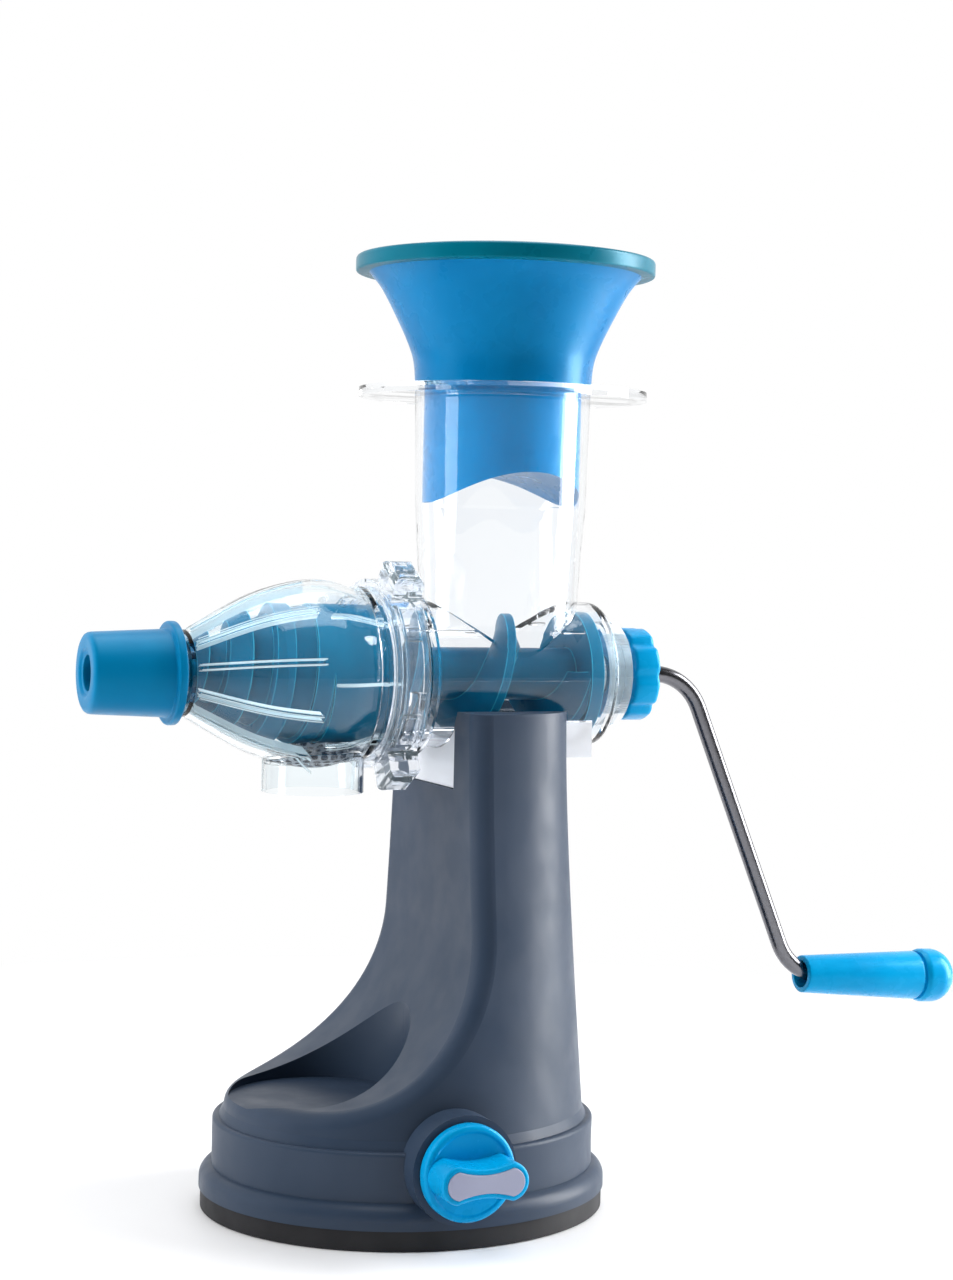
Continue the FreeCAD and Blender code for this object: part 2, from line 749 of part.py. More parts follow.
def rear_seal():
    """Soft ring round the bush flange, against the barrel's rear wall."""
    return tube_x(seal_outer_radius, bush_flange_radius + 0.1, bore_end_x - seal_thickness, bore_end_x)


# ---- press cone, strainer, locking ring --------------------------------------------------------
def cone_solid(inset, x0, x1):
    """Solid of revolution under the cone's outline, moved inwards by inset."""
    points = [Vector(x, 0, axis_height + r - inset) for x, r in cone_profile]
    outline = spline(points)
    left = Vector(points[0].x, 0, axis_height)
    right = Vector(points[-1].x, 0, axis_height)
    edges = [Part.LineSegment(left, points[0]).toShape(), outline,
             Part.LineSegment(points[-1], right).toShape(), Part.LineSegment(right, left).toShape()]
    whole = Part.Face(Part.Wire(edges)).revolve(Vector(0, 0, axis_height), Vector(1, 0, 0), 360)
    return whole.common(rod_x(big, x0, x1))


def cone_ribs(x0, x1, height, plates):
    """Ribs of one height on the cone's inside."""
    band = cone_solid(clear_wall - weld, x0, x1)
    return band.cut(cone_solid(clear_wall + height, cone_nose_x, cone_end_x)).common(plates)


def crush_ribs():
    """Strong ribs towards the nose that tear the fruit."""
    return cone_ribs(rib_start_x, rib_end_x, rib_height,
                     rib_plates(rib_count, rib_phase, rib_start_x, rib_end_x, rib_thickness))


def fine_ribs():
    """Fine ribs round the drum, in line with those of the bore."""
    return cone_ribs(fine_rib_start_x, cone_end_x, fine_rib_height,
                     rib_plates(guide_rib_count, guide_rib_phase, fine_rib_start_x, cone_end_x,
                                guide_rib_thickness))


def skirt_column(radius):
    """Upright cylinder over the outlet, up to the barrel axis."""
    return rod_z(radius, skirt_bottom, axis_height, outlet_x)


def snout():
    """Threaded nose that the pulp leaves through."""
    body = rod_x(snout_radius, snout_end_x, cone_nose_x + 2)
    starts = [snout_end_x + thread_pitch * (i + 0.5) for i in range(thread_turns)]
    rings = [tube_x(snout_radius + thread_height, snout_radius - weld, x, x + thread_pitch / 2)
             for x in starts]
    return body.fuse(rings)


def press_cone():
    skin = cone_solid(0, cone_nose_x, cone_end_x)
    hollow = cone_solid(clear_wall, cone_nose_x + clear_wall, cone_end_x + 1)
    flange = rod_x(cone_flange_radius, cone_end_x, cone_end_x + cone_flange_width)
    skirt = skirt_column(skirt_radius).common(box(-big, big, -big, big, -big, axis_height - skirt_root))
    bead = rod_x(cone_bead_radius, cone_bead_x, cone_bead_x + cone_bead_width)
    body = skin.fuse([flange, bead, snout(), skirt]).cut(hollow)
    body = body.cut(rod_x(cone_flange_bore, cone_end_x - weld, cone_end_x + 10))
    body = body.cut(rod_x(snout_bore, snout_end_x - 1, cone_nose_x + 5))
    body = body.fuse([crush_ribs(), fine_ribs()])
    body = body.cut(skirt_column(skirt_radius - skirt_wall))
    return body.fuse(outlet_ledge())


def outlet_ledge():
    """Narrow ledge inside the skirt that carries the strainer."""
    ring = skirt_column(skirt_radius - skirt_wall + weld)
    ring = ring.cut(skirt_column(skirt_radius - skirt_wall - strainer_ledge))
    bigger = cone_solid(-strainer_ledge, cone_nose_x, cone_end_x)
    band = bigger.cut(cone_solid(0, cone_nose_x, cone_end_x))
    return band.common(ring).common(box(-big, big, -big, big, -big, axis_height - skirt_root))


def strainer_holes():
    """Radial drain holes on a grid, in rows round the barrel axis."""
    radius = skirt_radius - skirt_wall - strainer_play - strainer_margin
    holes = []
    rows = int(radius / strainer_pitch)
    degrees = math.degrees(strainer_pitch / cone_profile[4][1])
    for i in range(-rows, rows + 1):
        for k in range(-rows, rows + 1):
            x = i * strainer_pitch + (strainer_pitch / 2 if k % 2 else 0)
            y = k * strainer_pitch
            if math.hypot(x, y) < radius:
                hole = rod_z(strainer_hole_radius, skirt_bottom, axis_height - strainer_hole_root,
                             outlet_x + x)
                holes.append(turned_about_axis(hole, k * degrees))
    return holes


def strainer():
    """Perforated floor of the cone: the same curved skin, cut round to fit in the skirt."""
    skin = cone_solid(0, cone_nose_x, cone_end_x).cut(cone_solid(strainer_wall, cone_nose_x, cone_end_x))
    plug = skirt_column(skirt_radius - skirt_wall - strainer_play)
    lid = skin.common(plug)
    return lid.cut(strainer_holes())


def cone_seal():
    x0 = cone_end_x + cone_flange_width
    return tube_x(seal_ring_outer, seal_ring_inner, x0, x0 + seal_ring_width)


def ring_ear(angle):
    """Ear that the fingers push against."""
    middle = (ring_start_x + ring_end_x) / 2
    root = axis_height + lug_radius + ring_fit + weld
    top = axis_height + ring_ear_radius
    ear = box(middle - ring_ear_width / 2, middle + ring_ear_width / 2, -ring_ear_thickness / 2,
              ring_ear_thickness / 2, root, top)
    rim = [e for e in ear.Edges if abs(e.BoundBox.ZMin - top) < 0.01]
    return turned_about_axis(ear.makeFillet(ring_ear_round, rim), angle)


def ring_band(outer):
    """Hollow band between the ring's rims, crossed by ribs."""
    x0 = ring_start_x + ring_front_rim
    x1 = ring_end_x - ring_back_rim
    band = tube_x(outer + 1, outer - ring_hollow, x0, x1)
    ribs = [rib_plates(ring_ear_count, ring_ear_angle + offset, x0, x1, ring_rib_thickness)
            for offset in (-ring_rib_offset, ring_rib_offset)]
    return band.cut(ribs)


def locking_ring():
    """Clear bayonet ring that holds the cone's flange against the barrel."""
    bore = lug_radius + ring_fit
    outer = bore + ring_wall
    body = rod_x(outer, ring_start_x, ring_end_x).cut(ring_band(outer))
    body = body.fuse([ring_ear(ring_ear_angle + 360 / ring_ear_count * i) for i in range(ring_ear_count)])
    body = body.cut(rod_x(bore, ring_start_x + ring_lip_width, ring_end_x + 1))
    body = body.cut(rod_x(ring_lip_bore, ring_start_x - 1, ring_end_x + 1))
    return body.fuse(bayonet_lugs(ring_lug_bore, bore + weld, ring_lug_x, ring_lug_width, 0))


# ---- auger -------------------------------------------------------------------------------------
def helicoid(x0, x1, pitch, root_width, tip_width, root_radius, tip_radius):
    """Left-handed screw ridge about the barrel axis, swept from a tapered section."""
    path = Part.Wire(Part.makeLongHelix(pitch, x1 - x0, root_radius))
    section = Part.makePolygon([Vector(root_radius, 0, -root_width / 2),
                                Vector(tip_radius, 0, -tip_width / 2),
                                Vector(tip_radius, 0, tip_width / 2),
                                Vector(root_radius, 0, root_width / 2),
                                Vector(root_radius, 0, -root_width / 2)])
    ridge = path.makePipeShell([section], True, True)
    ridge = ridge.mirror(Vector(0, 0, 0), Vector(0, 1, 0))
    ridge.rotate(Vector(0, 0, 0), Vector(0, 1, 0), 90)
    ridge.translate(Vector(x0, 0, axis_height))
    return ridge


def auger_cone():
    """Front of the auger: a conical core with fine flights."""
    reach = clear_wall + rib_height + auger_clearance
    envelope = cone_solid(reach, cone_flight_start_x, drum_start_x + weld)
    envelope = envelope.common(rod_x(drum_radius, cone_flight_start_x, drum_start_x + weld))
    core = cone_solid(reach + cone_flight_depth, cone_flight_start_x, drum_start_x + weld)
    ridge = helicoid(cone_flight_start_x - cone_flight_pitch / 3, drum_start_x + cone_flight_pitch / 3,
                     cone_flight_pitch, cone_flight_root, cone_flight_land,
                     auger_tip_radius / 2, drum_radius + cone_flight_depth)
    return core.fuse(envelope.Solids[0].common(ridge))


def auger_feed():
    """Rear of the auger: a shaft with one coarse deep flight that feeds the drum."""
    shaft = rod_x(rear_core_radius, drum_end_x - weld, rear_disc_end_x)
    ridge = helicoid(drum_end_x - 2, rear_disc_x + 2, rear_flight_pitch, rear_flight_root,
                     rear_flight_tip, rear_core_radius - 2, rear_flight_radius)
    ridge = ridge.common(rod_x(rear_flight_radius, drum_end_x - weld, rear_disc_end_x))
    disc = rod_x(rear_flight_radius, rear_disc_x, rear_disc_end_x)
    journal = rod_x(journal_radius, rear_disc_end_x - weld, knob_start_x)
    return shaft.fuse([ridge, disc, journal])


def auger():
    tip_end = cone_flight_start_x + 1
    tip = turned_about_barrel([(auger_tip_x, 0), (auger_tip_x, auger_tip_radius - 1),
                               (auger_tip_x + 1, auger_tip_radius), (tip_end, auger_tip_radius),
                               (tip_end, 0)])
    drum = rod_x(drum_radius, drum_start_x, drum_end_x)
    body = auger_feed().fuse([drum, tip]).fuse(auger_cone())
    return body.cut(rod_x(insert_radius, knob_start_x - insert_length, knob_start_x + 1))


def auger_insert():
    """Brass insert that the crank rod screws into."""
    start = knob_start_x - insert_length
    sleeve = rod_x(insert_radius, start, knob_start_x)
    return sleeve.cut(rod_x(rod_radius, start + 1.5, knob_start_x + 1))


# ---- drive knob, crank, grip -------------------------------------------------------------------
def drive_knob():
    body = rod_x(drive_knob_radius, knob_start_x, knob_end_x)
    rims = [e for e in body.Edges if abs(e.BoundBox.XLength) < 0.01]
    body = body.makeFillet(1.6, rims)
    offset = drive_knob_radius + lobe_groove_radius - lobe_groove_depth
    for i in range(drive_knob_lobes):
        groove = rod_x(lobe_groove_radius, knob_start_x - 1, knob_end_x + 1, axis_height + offset)
        body = body.cut(turned_about_axis(groove, 360 / drive_knob_lobes * (i + 0.5)))
    return body.cut(rod_x(rod_radius, knob_start_x - 1, knob_end_x + 1))


def grip_axis():
    droop = math.radians(grip_droop)
    return Vector(math.cos(droop), 0, -math.sin(droop))


def rod_path():
    """Centre line of the crank rod: run, bend, arm, bend, spigot."""
    start = Vector(rod_start_x, 0, axis_height)
    arm = math.radians(arm_angle)
    arm_way = Vector(math.cos(arm), 0, -math.sin(arm))
    way = grip_axis()
    upper_tangent = upper_bend_radius * math.tan(arm / 2)
    upper_corner = Vector(upper_bend_start_x + upper_tangent, 0, axis_height)
    mouth = Vector(grip_x, 0, grip_z)
    cross = arm_way.x * way.z - arm_way.z * way.x
    gap = mouth - upper_corner
    along_arm = (gap.x * way.z - gap.z * way.x) / cross
    lower_corner = upper_corner + arm_way * along_arm
    turn = arm - math.radians(grip_droop)
    lower_tangent = lower_bend_radius * math.tan(turn / 2)
    end = mouth + way * (grip_length - grip_web)
    first = Vector(upper_bend_start_x, 0, axis_height)
    second = upper_corner + arm_way * upper_tangent
    third = lower_corner - arm_way * lower_tangent
    fourth = lower_corner + way * lower_tangent
    return [start, (first, upper_corner, second), (third, lower_corner, fourth), end]


def bend(first, corner, last, radius):
    """Arc tangent to both runs at a corner."""
    inward = (first - corner).normalize() + (last - corner).normalize()
    inward.normalize()
    half = (first - corner).getAngle(last - corner) / 2
    middle = corner + inward * (radius / math.sin(half) - radius)
    return Part.Arc(first, middle, last).toShape()


def crank_rod():
    start, upper, lower, end = rod_path()
    edges = [Part.LineSegment(start, upper[0]).toShape(),
             bend(*upper, upper_bend_radius),
             Part.LineSegment(upper[2], lower[0]).toShape(),
             bend(*lower, lower_bend_radius),
             Part.LineSegment(lower[2], end).toShape()]
    path = Part.Wire(edges)
    section = Part.Wire(Part.Circle(start, Vector(1, 0, 0), rod_radius).toShape())
    return path.makePipeShell([section], True, False)


def along_grip(shape):
    """Place a shape that was drawn along +X from the origin onto the grip's axis."""
    shape.rotate(Vector(0, 0, 0), Vector(0, 1, 0), grip_droop)
    shape.translate(Vector(grip_x, 0, grip_z))
    return shape


def grip_turned(points):
    corners = [Vector(x, 0, r) for x, r in points]
    face = Part.Face(Part.makePolygon(corners + corners[:1]))
    return face.revolve(Vector(0, 0, 0), Vector(1, 0, 0), 360)


def grip_sleeve():
    """Hollow tapered grip that turns on the rod's end."""
    pocket_start = grip_length - grip_web - grip_washer_thickness - grip_end_play
    outside = grip_turned([(0, 0), (0, grip_mouth_radius - grip_lead), (grip_lead, grip_mouth_radius),
                           (grip_length, grip_far_radius), (grip_length, 0)])
    bore = rod_radius + grip_fit
    mouth_radius = grip_mouth_radius - grip_wall
    mouth = grip_turned([(-1, 0), (-1, mouth_radius), (grip_mouth_depth - grip_mouth_taper, mouth_radius),
                         (grip_mouth_depth, bore), (grip_mouth_depth, 0)])
    through = Part.makeCylinder(bore, grip_length + 2, Vector(-1, 0, 0), Vector(1, 0, 0))
    pocket = Part.makeCylinder(grip_far_radius - grip_wall, grip_length, Vector(pocket_start, 0, 0),
                               Vector(1, 0, 0))
    return along_grip(outside.cut([mouth, through, pocket]))


def end_cap_dome(round_start):
    """Squashed half ball at the grip's end."""
    dome = Part.makeSphere(end_cap_radius)
    squash = FreeCAD.Matrix()
    squash.scale(end_cap_squash, 1.0, 1.0)
    dome = dome.transformGeometry(squash)
    dome.translate(Vector(round_start, 0, 0))
    return dome.common(Part.makeBox(big, big, big, Vector(round_start, -big / 2, -big / 2)))


def grip_end_cap():
    """Rounded cap that closes the grip."""
    start = grip_length + clip_play
    round_start = start + end_cap_length - end_cap_radius * end_cap_squash
    neck = grip_far_radius - grip_groove
    shoulder = start + grip_groove_width + end_cap_shoulder
    barrel = grip_turned([(start, 0), (start, neck), (start + grip_groove_width, neck),
                          (start + grip_groove_width, grip_far_radius),
                          (shoulder, end_cap_radius), (round_start + weld, end_cap_radius),
                          (round_start + weld, 0)])
    plug_radius = grip_far_radius - grip_wall - clip_play
    plug = grip_turned([(start - end_cap_plug, 0), (start - end_cap_plug, plug_radius),
                        (start + weld, plug_radius), (start + weld, 0)])
    hollow_radius = plug_radius - end_cap_wall
    hollow = grip_turned([(0, 0), (0, hollow_radius), (round_start, hollow_radius), (round_start, 0)])
    return along_grip(fuse_all([end_cap_dome(round_start), barrel, plug]).cut(hollow))


def grip_washer():
    """Washer riveted on the rod's end so that the grip can't slide off."""
    stop = grip_length - grip_web
    disc = Part.makeCylinder(grip_washer_radius, grip_washer_thickness,
                             Vector(stop - grip_washer_thickness, 0, 0), Vector(1, 0, 0))
    hole = Part.makeCylinder(rod_radius, 20, Vector(stop - 10, 0, 0), Vector(1, 0, 0))
    return along_grip(disc.cut(hole))


# ---- waste cap ---------------------------------------------------------------------------------
def waste_cap():
    """Blue screw cap on the snout; its end hole lets the dry pulp out."""
    outside = turned_about_barrel([(cap_end_x, 0), (cap_end_x, cap_end_radius - cap_end_round),
                                   (cap_end_x + 0.8, cap_end_radius - 0.9),
                                   (cap_end_x + cap_end_round, cap_end_radius),
                                   (cap_flange_x - cap_flange_width, cap_root_radius),
                                   (cap_flange_x - cap_flange_width, cap_flange_radius),
                                   (cap_flange_x, cap_flange_radius), (cap_flange_x, 0)])
    cavity_start = cap_end_x + cap_end_thickness
    bore = snout_radius + thread_height + cap_thread_play
    body = outside.cut(rod_x(bore, cavity_start, cap_flange_x + 1))
    return body.cut(rod_x(cap_hole_radius, cap_end_x - 1, cap_flange_x + 1))


def waste_cap_washer():
    """Soft seal that the cap carries against the snout's end."""
    return tube_x(snout_radius, washer_bore, washer_x, washer_x + washer_thickness)


# ---- pusher ------------------------------------------------------------------------------------
def trumpet(inset, start):
    """Solid of the pusher's flared top from a given height, moved inwards by inset."""
    curve = [Vector(hopper_x + r - inset, 0, pusher_neck + h) for h, r in trumpet_profile]
    foot = Vector(hopper_x, 0, pusher_neck)
    head = Vector(hopper_x, 0, trumpet_top)
    edges = [Part.LineSegment(foot, curve[0]).toShape(), spline(curve),
             Part.LineSegment(curve[-1], head).toShape(), Part.LineSegment(head, foot).toShape()]
    whole = Part.Face(Part.Wire(edges)).revolve(Vector(hopper_x, 0, 0), Vector(0, 0, 1), 360)
    return whole.common(rod_z(big, start, trumpet_top, hopper_x))


def pusher_arch_space(inset):
    """Hollow arch across the pusher's foot, along Y."""
    radius = (pusher_radius ** 2 + pusher_arch ** 2) / (2 * pusher_arch)
    centre = Vector(hopper_x, -big / 2, pusher_bottom + pusher_arch - radius)
    return Part.makeCylinder(radius + inset, big, centre, Vector(0, 1, 0))


def pusher_body():
    """Hollow plunger with an arched foot and a flared top."""
    stem = rod_z(pusher_radius, pusher_bottom, pusher_neck + pusher_wall, hopper_x)
    outside = stem.cut(pusher_arch_space(0)).fuse(trumpet(0, pusher_neck))
    room = rod_z(pusher_radius - pusher_wall, pusher_bottom, pusher_neck + 2 * pusher_wall, hopper_x)
    inside = room.cut(pusher_arch_space(pusher_wall)).fuse(trumpet(pusher_wall, pusher_neck + pusher_wall))
    return outside.cut(inside)


def pusher_cap():
    """Domed lid with an overhanging rim, plugged into the trumpet."""
    rim_top = trumpet_top + cap_disc_thickness
    dome_radius = (cap_disc_radius ** 2 + cap_disc_crown ** 2) / (2 * cap_disc_crown)
    dome_centre = Vector(hopper_x, 0, rim_top + cap_disc_crown - dome_radius)
    disc = rod_z(cap_disc_radius, trumpet_top, rim_top + cap_disc_crown, hopper_x)
    disc = disc.common(Part.makeSphere(dome_radius, dome_centre))
    plug_outer = trumpet_profile[-2][1] - pusher_wall - ring_fit
    plug = rod_z(plug_outer, trumpet_top - cap_plug_depth, trumpet_top + weld, hopper_x)
    under = rod_z(plug_outer - cap_plug_wall, trumpet_top - cap_plug_depth - 1, big, hopper_x)
    under = under.common(Part.makeSphere(dome_radius - cap_skin, dome_centre))
    return disc.fuse(plug).cut(under)


save("base_body", base_body())
save("suction_pad", suction_pad())
save("suction_stem", suction_stem())
save("cam_shaft", cam_shaft())
save("shaft_clip", shaft_clip())
save("lock_knob", lock_knob())
save("lock_knob_inlay", lock_knob_inlay())
save("lock_knob_screw", lock_knob_screw())
save("juicer_barrel", juicer_barrel())
save("rear_bush", rear_bush())
save("rear_seal", rear_seal())
save("press_cone", press_cone())
save("strainer", strainer())
save("cone_seal", cone_seal())
save("locking_ring", locking_ring())
save("auger", auger())
save("auger_insert", auger_insert())
save("drive_knob", drive_knob())
save("crank_rod", crank_rod())
save("grip_sleeve", grip_sleeve())
save("grip_end_cap", grip_end_cap())
save("grip_washer", grip_washer())
save("waste_cap", waste_cap())
save("waste_cap_washer", waste_cap_washer())
save("pusher_body", pusher_body())
save("pusher_cap", pusher_cap())
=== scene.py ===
import math
import bpy
from mathutils import Matrix, Vector


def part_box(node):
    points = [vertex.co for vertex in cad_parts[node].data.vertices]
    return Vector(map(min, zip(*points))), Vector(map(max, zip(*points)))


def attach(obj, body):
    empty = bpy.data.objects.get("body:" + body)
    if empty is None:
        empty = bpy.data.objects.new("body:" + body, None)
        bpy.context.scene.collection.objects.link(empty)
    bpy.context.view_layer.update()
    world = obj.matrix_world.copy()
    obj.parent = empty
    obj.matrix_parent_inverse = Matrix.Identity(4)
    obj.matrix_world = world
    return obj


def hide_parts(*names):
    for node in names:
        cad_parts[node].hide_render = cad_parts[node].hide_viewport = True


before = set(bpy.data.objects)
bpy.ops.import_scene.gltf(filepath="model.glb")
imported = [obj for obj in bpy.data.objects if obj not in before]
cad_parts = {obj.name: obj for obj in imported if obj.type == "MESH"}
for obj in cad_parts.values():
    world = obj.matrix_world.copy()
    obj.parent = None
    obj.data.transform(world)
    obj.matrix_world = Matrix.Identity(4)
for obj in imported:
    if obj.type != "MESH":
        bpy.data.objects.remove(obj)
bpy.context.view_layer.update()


# ---- Column and foot shell ---------------------------------------------------------------------
# One grey ABS moulding, open underneath: the flared foot, the plinth with the glass dish and the
# hollow column whose forked top holds the barrel. Its outside is spark-eroded to a fine matt grain.
mm = 0.001


def finish(name):
    """A new material: its node tree, its surface shader and the object's own coordinates."""
    material = bpy.data.materials.new(name)
    material.use_nodes = True
    tree = material.node_tree
    place = tree.nodes.new("ShaderNodeTexCoord").outputs["Object"]
    return material, tree, tree.nodes["Principled BSDF"], place


def mottle(tree, place, size, detail=3.0, stretch=(1.0, 1.0, 1.0)):
    """Noise whose blotches are about size millimetres across."""
    mapping = tree.nodes.new("ShaderNodeMapping")
    mapping.inputs["Scale"].default_value = [s / (size * mm) for s in stretch]
    noise = tree.nodes.new("ShaderNodeTexNoise")
    noise.inputs["Scale"].default_value = 1.0
    noise.inputs["Detail"].default_value = detail
    tree.links.new(place, mapping.inputs["Vector"])
    tree.links.new(mapping.outputs["Vector"], noise.inputs["Vector"])
    return noise.outputs["Fac"]


def between(tree, factor, low, high, start=0.35, end=0.65):
    """Turns a noise value into a number from low to high."""
    span = tree.nodes.new("ShaderNodeMapRange")
    for socket, value in zip(("From Min", "From Max", "To Min", "To Max"), (start, end, low, high)):
        span.inputs[socket].default_value = value
    tree.links.new(factor, span.inputs["Value"])
    return span.outputs["Result"]


def blend_colour(tree, factor, first, second):
    """Colour that runs from first to second; either may be a colour or a socket."""
    mix = tree.nodes.new("ShaderNodeMix")
    mix.data_type = "RGBA"
    tree.links.new(factor, mix.inputs["Factor"])
    for socket, colour in ((mix.inputs[6], first), (mix.inputs[7], second)):
        if hasattr(colour, "is_output"):
            tree.links.new(colour, socket)
        else:
            socket.default_value = (*colour, 1.0)
    return mix.outputs[2]


def relief(tree, height, depth, under=None):
    """Surface normal with a relief of the given depth in millimetres."""
    bump = tree.nodes.new("ShaderNodeBump")
    bump.inputs["Distance"].default_value = depth * mm
    tree.links.new(height, bump.inputs["Height"])
    if under is not None:
        tree.links.new(under, bump.inputs["Normal"])
    return bump.outputs["Normal"]


def dress(material, *names):
    """Gives CAD nodes their material."""
    for name in names:
        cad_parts[name].data.materials.clear()
        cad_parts[name].data.materials.append(material)


def grained_plastic(name, dark, light, roughness, grain, depth, shine=0.35):
    """Matt moulded plastic: cloudy colour, a fine eroded grain and a slow waviness."""
    material, tree, surface, place = finish(name)
    clouds = between(tree, mottle(tree, place, 38.0), 0.0, 1.0)
    tree.links.new(blend_colour(tree, clouds, dark, light), surface.inputs["Base Color"])
    tree.links.new(between(tree, mottle(tree, place, 12.0), roughness - 0.05, roughness + 0.06),
                   surface.inputs["Roughness"])
    slow = relief(tree, mottle(tree, place, 26.0, 1.0), 0.12)
    tree.links.new(relief(tree, mottle(tree, place, grain, 2.0), depth, slow), surface.inputs["Normal"])
    surface.inputs["Specular IOR Level"].default_value = shine
    return material


grey_abs = grained_plastic("grey_abs", (0.025, 0.042, 0.073), (0.031, 0.049, 0.083),
                           roughness=0.42, grain=0.45, depth=0.006, shine=0.26)
dress(grey_abs, "base_body")


# ---- Suction foot ------------------------------------------------------------------------------
# A black rubber oval that grips the table. Its membrane is moulded on the white stem's disc, which
# the lock pulls up to make the suction.
black_rubber = grained_plastic("black_rubber", (0.012, 0.012, 0.014), (0.02, 0.02, 0.023),
                               roughness=0.62, grain=0.8, depth=0.03)
dress(black_rubber, "suction_pad")

white_acetal = grained_plastic("white_acetal", (0.68, 0.68, 0.66), (0.74, 0.74, 0.72),
                               roughness=0.36, grain=0.9, depth=0.006)
dress(white_acetal, "suction_stem")


# ---- Lock knob ---------------------------------------------------------------------------------
# A gloss blue disc with a bow-tie lever and a pale inlay glued in the lever's face. It is screwed
# to the steel cam shaft that lifts the suction foot.
def edge_highlight_mask(tree, width):
    """1 along sharp edges, 0 on flat faces; it places the painted edge highlight."""
    soft = tree.nodes.new("ShaderNodeBevel")
    soft.samples = 6
    soft.inputs["Radius"].default_value = width * mm
    compare = tree.nodes.new("ShaderNodeVectorMath")
    compare.operation = "DOT_PRODUCT"
    tree.links.new(soft.outputs["Normal"], compare.inputs[0])
    tree.links.new(tree.nodes.new("ShaderNodeNewGeometry").outputs["Normal"], compare.inputs[1])
    return between(tree, compare.outputs["Value"], 1.0, 0.0, 0.80, 0.985)


def gloss_plastic(name, dark, light, roughness, orange_peel, edge=None, shine=0.35):
    """Moulded gloss plastic: slow colour swirls, a faint orange peel and, if given, a painted highlight: a
    paler colour along sharp edges.
    """
    material, tree, surface, place = finish(name)
    swirl = between(tree, mottle(tree, place, 24.0, 4.0, (1.0, 1.0, 0.45)), 0.0, 1.0)
    colour = blend_colour(tree, swirl, dark, light)
    # If given, edge is a painted highlight: a paler colour laid along sharp edges.
    if edge is not None:
        colour = blend_colour(tree, edge_highlight_mask(tree, 0.7), colour, edge)
    tree.links.new(colour, surface.inputs["Base Color"])
    tree.links.new(between(tree, mottle(tree, place, 9.0), roughness - 0.03, roughness + 0.05),
                   surface.inputs["Roughness"])
    slow = relief(tree, mottle(tree, place, 22.0, 1.0), 0.04)
    tree.links.new(relief(tree, mottle(tree, place, 1.6, 2.0), orange_peel, slow), surface.inputs["Normal"])
    surface.inputs["Specular Tint"].default_value = (0.15, 0.7, 1.0, 1.0)
    surface.inputs["Specular IOR Level"].default_value = shine
    return material


def rounded(corners, steps=4):
    """Outline of (along, radius) points in millimetres; each corner's third number is its rounding."""
    outline = []
    last_corner = len(corners) - 1
    for i, (along, radius, soft) in enumerate(corners):
        here = Vector((along, radius))
        if soft == 0.0 or i in (0, last_corner):
            outline.append(here)
            continue
        first = here + (Vector(corners[i - 1][:2]) - here).normalized() * soft
        last = here + (Vector(corners[i + 1][:2]) - here).normalized() * soft
        for k in range(steps + 1):
            t = k / steps
            outline.append(first * (1 - t) ** 2 + here * 2 * t * (1 - t) + last * t ** 2)
    return outline


crease_angle = math.radians(32.0)
merge_distance = 0.03 * mm


def settle(piece):
    """Leaves edit mode with the piece's place in its mesh, its faces outwards and its curves smooth."""
    bpy.ops.object.mode_set(mode="EDIT")
    bpy.ops.mesh.select_all(action="SELECT")
    bpy.ops.mesh.remove_doubles(threshold=merge_distance)
    bpy.ops.mesh.normals_make_consistent(inside=False)
    bpy.ops.object.mode_set(mode="OBJECT")
    bpy.ops.object.select_all(action="DESELECT")
    piece.select_set(True)
    bpy.context.view_layer.objects.active = piece
    bpy.ops.object.transform_apply(location=True, rotation=True, scale=True)
    bpy.ops.object.shade_smooth_by_angle(angle=crease_angle)
    return piece


def turned(name, outline, place, way, sides=96):
    """Turned shape: a ring of edges is drawn out from point to point of an outline in millimetres."""
    place = Vector(place)
    way = Vector(way)
    bpy.ops.object.select_all(action="DESELECT")
    bpy.ops.mesh.primitive_circle_add(vertices=sides, radius=outline[0][1] * mm,
                                      location=place + way * outline[0][0] * mm,
                                      rotation=way.to_track_quat("Z", "Y").to_euler())
    piece = bpy.context.object
    piece.name = name
    bpy.ops.object.mode_set(mode="EDIT")
    bpy.ops.mesh.select_all(action="SELECT")
    for before, after in zip(outline, outline[1:]):
        step = way * (after[0] - before[0]) * mm
        bpy.ops.mesh.extrude_edges_move(TRANSFORM_OT_translate={"value": step})
        bpy.ops.transform.resize(value=[after[1] / before[1]] * 3,
                                 center_override=place + way * after[0] * mm)
    bpy.ops.object.mode_set(mode="OBJECT")
    return settle(piece)


def pick(piece, rule):
    """Selects the vertices that the rule names and stays in edit mode."""
    bpy.ops.object.select_all(action="DESELECT")
    piece.select_set(True)
    bpy.context.view_layer.objects.active = piece
    bpy.ops.object.mode_set(mode="EDIT")
    bpy.ops.mesh.select_mode(type="VERT")
    bpy.ops.mesh.select_all(action="DESELECT")
    bpy.ops.object.mode_set(mode="OBJECT")
    for vertex in piece.data.vertices:
        vertex.select = bool(rule(vertex.co))
    bpy.ops.object.mode_set(mode="EDIT")


def apply_modifier(piece, kind, **settings):
    """Adds a modifier, sets it and applies it."""
    modifier = piece.modifiers.new(kind, kind)
    for key, value in settings.items():
        setattr(modifier, key, value)
    bpy.ops.object.select_all(action="DESELECT")
    piece.select_set(True)
    bpy.context.view_layer.objects.active = piece
    bpy.ops.object.modifier_apply(modifier=modifier.name)


def combine(piece, tool, operation):
    """Unites a solid with a tool or cuts it away, and throws the tool away."""
    apply_modifier(piece, "BOOLEAN", operation=operation, solver="EXACT", object=tool)
    bpy.data.objects.remove(tool)


def hand_over(piece, body, slot, material, *nodes):
    """Gives a piece its material and its body and hides the CAD nodes that it stands for; the slot is not
    used.
    """
    piece.data.materials.clear()
    piece.data.materials.append(material)
    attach(piece, body)
    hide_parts(*nodes)


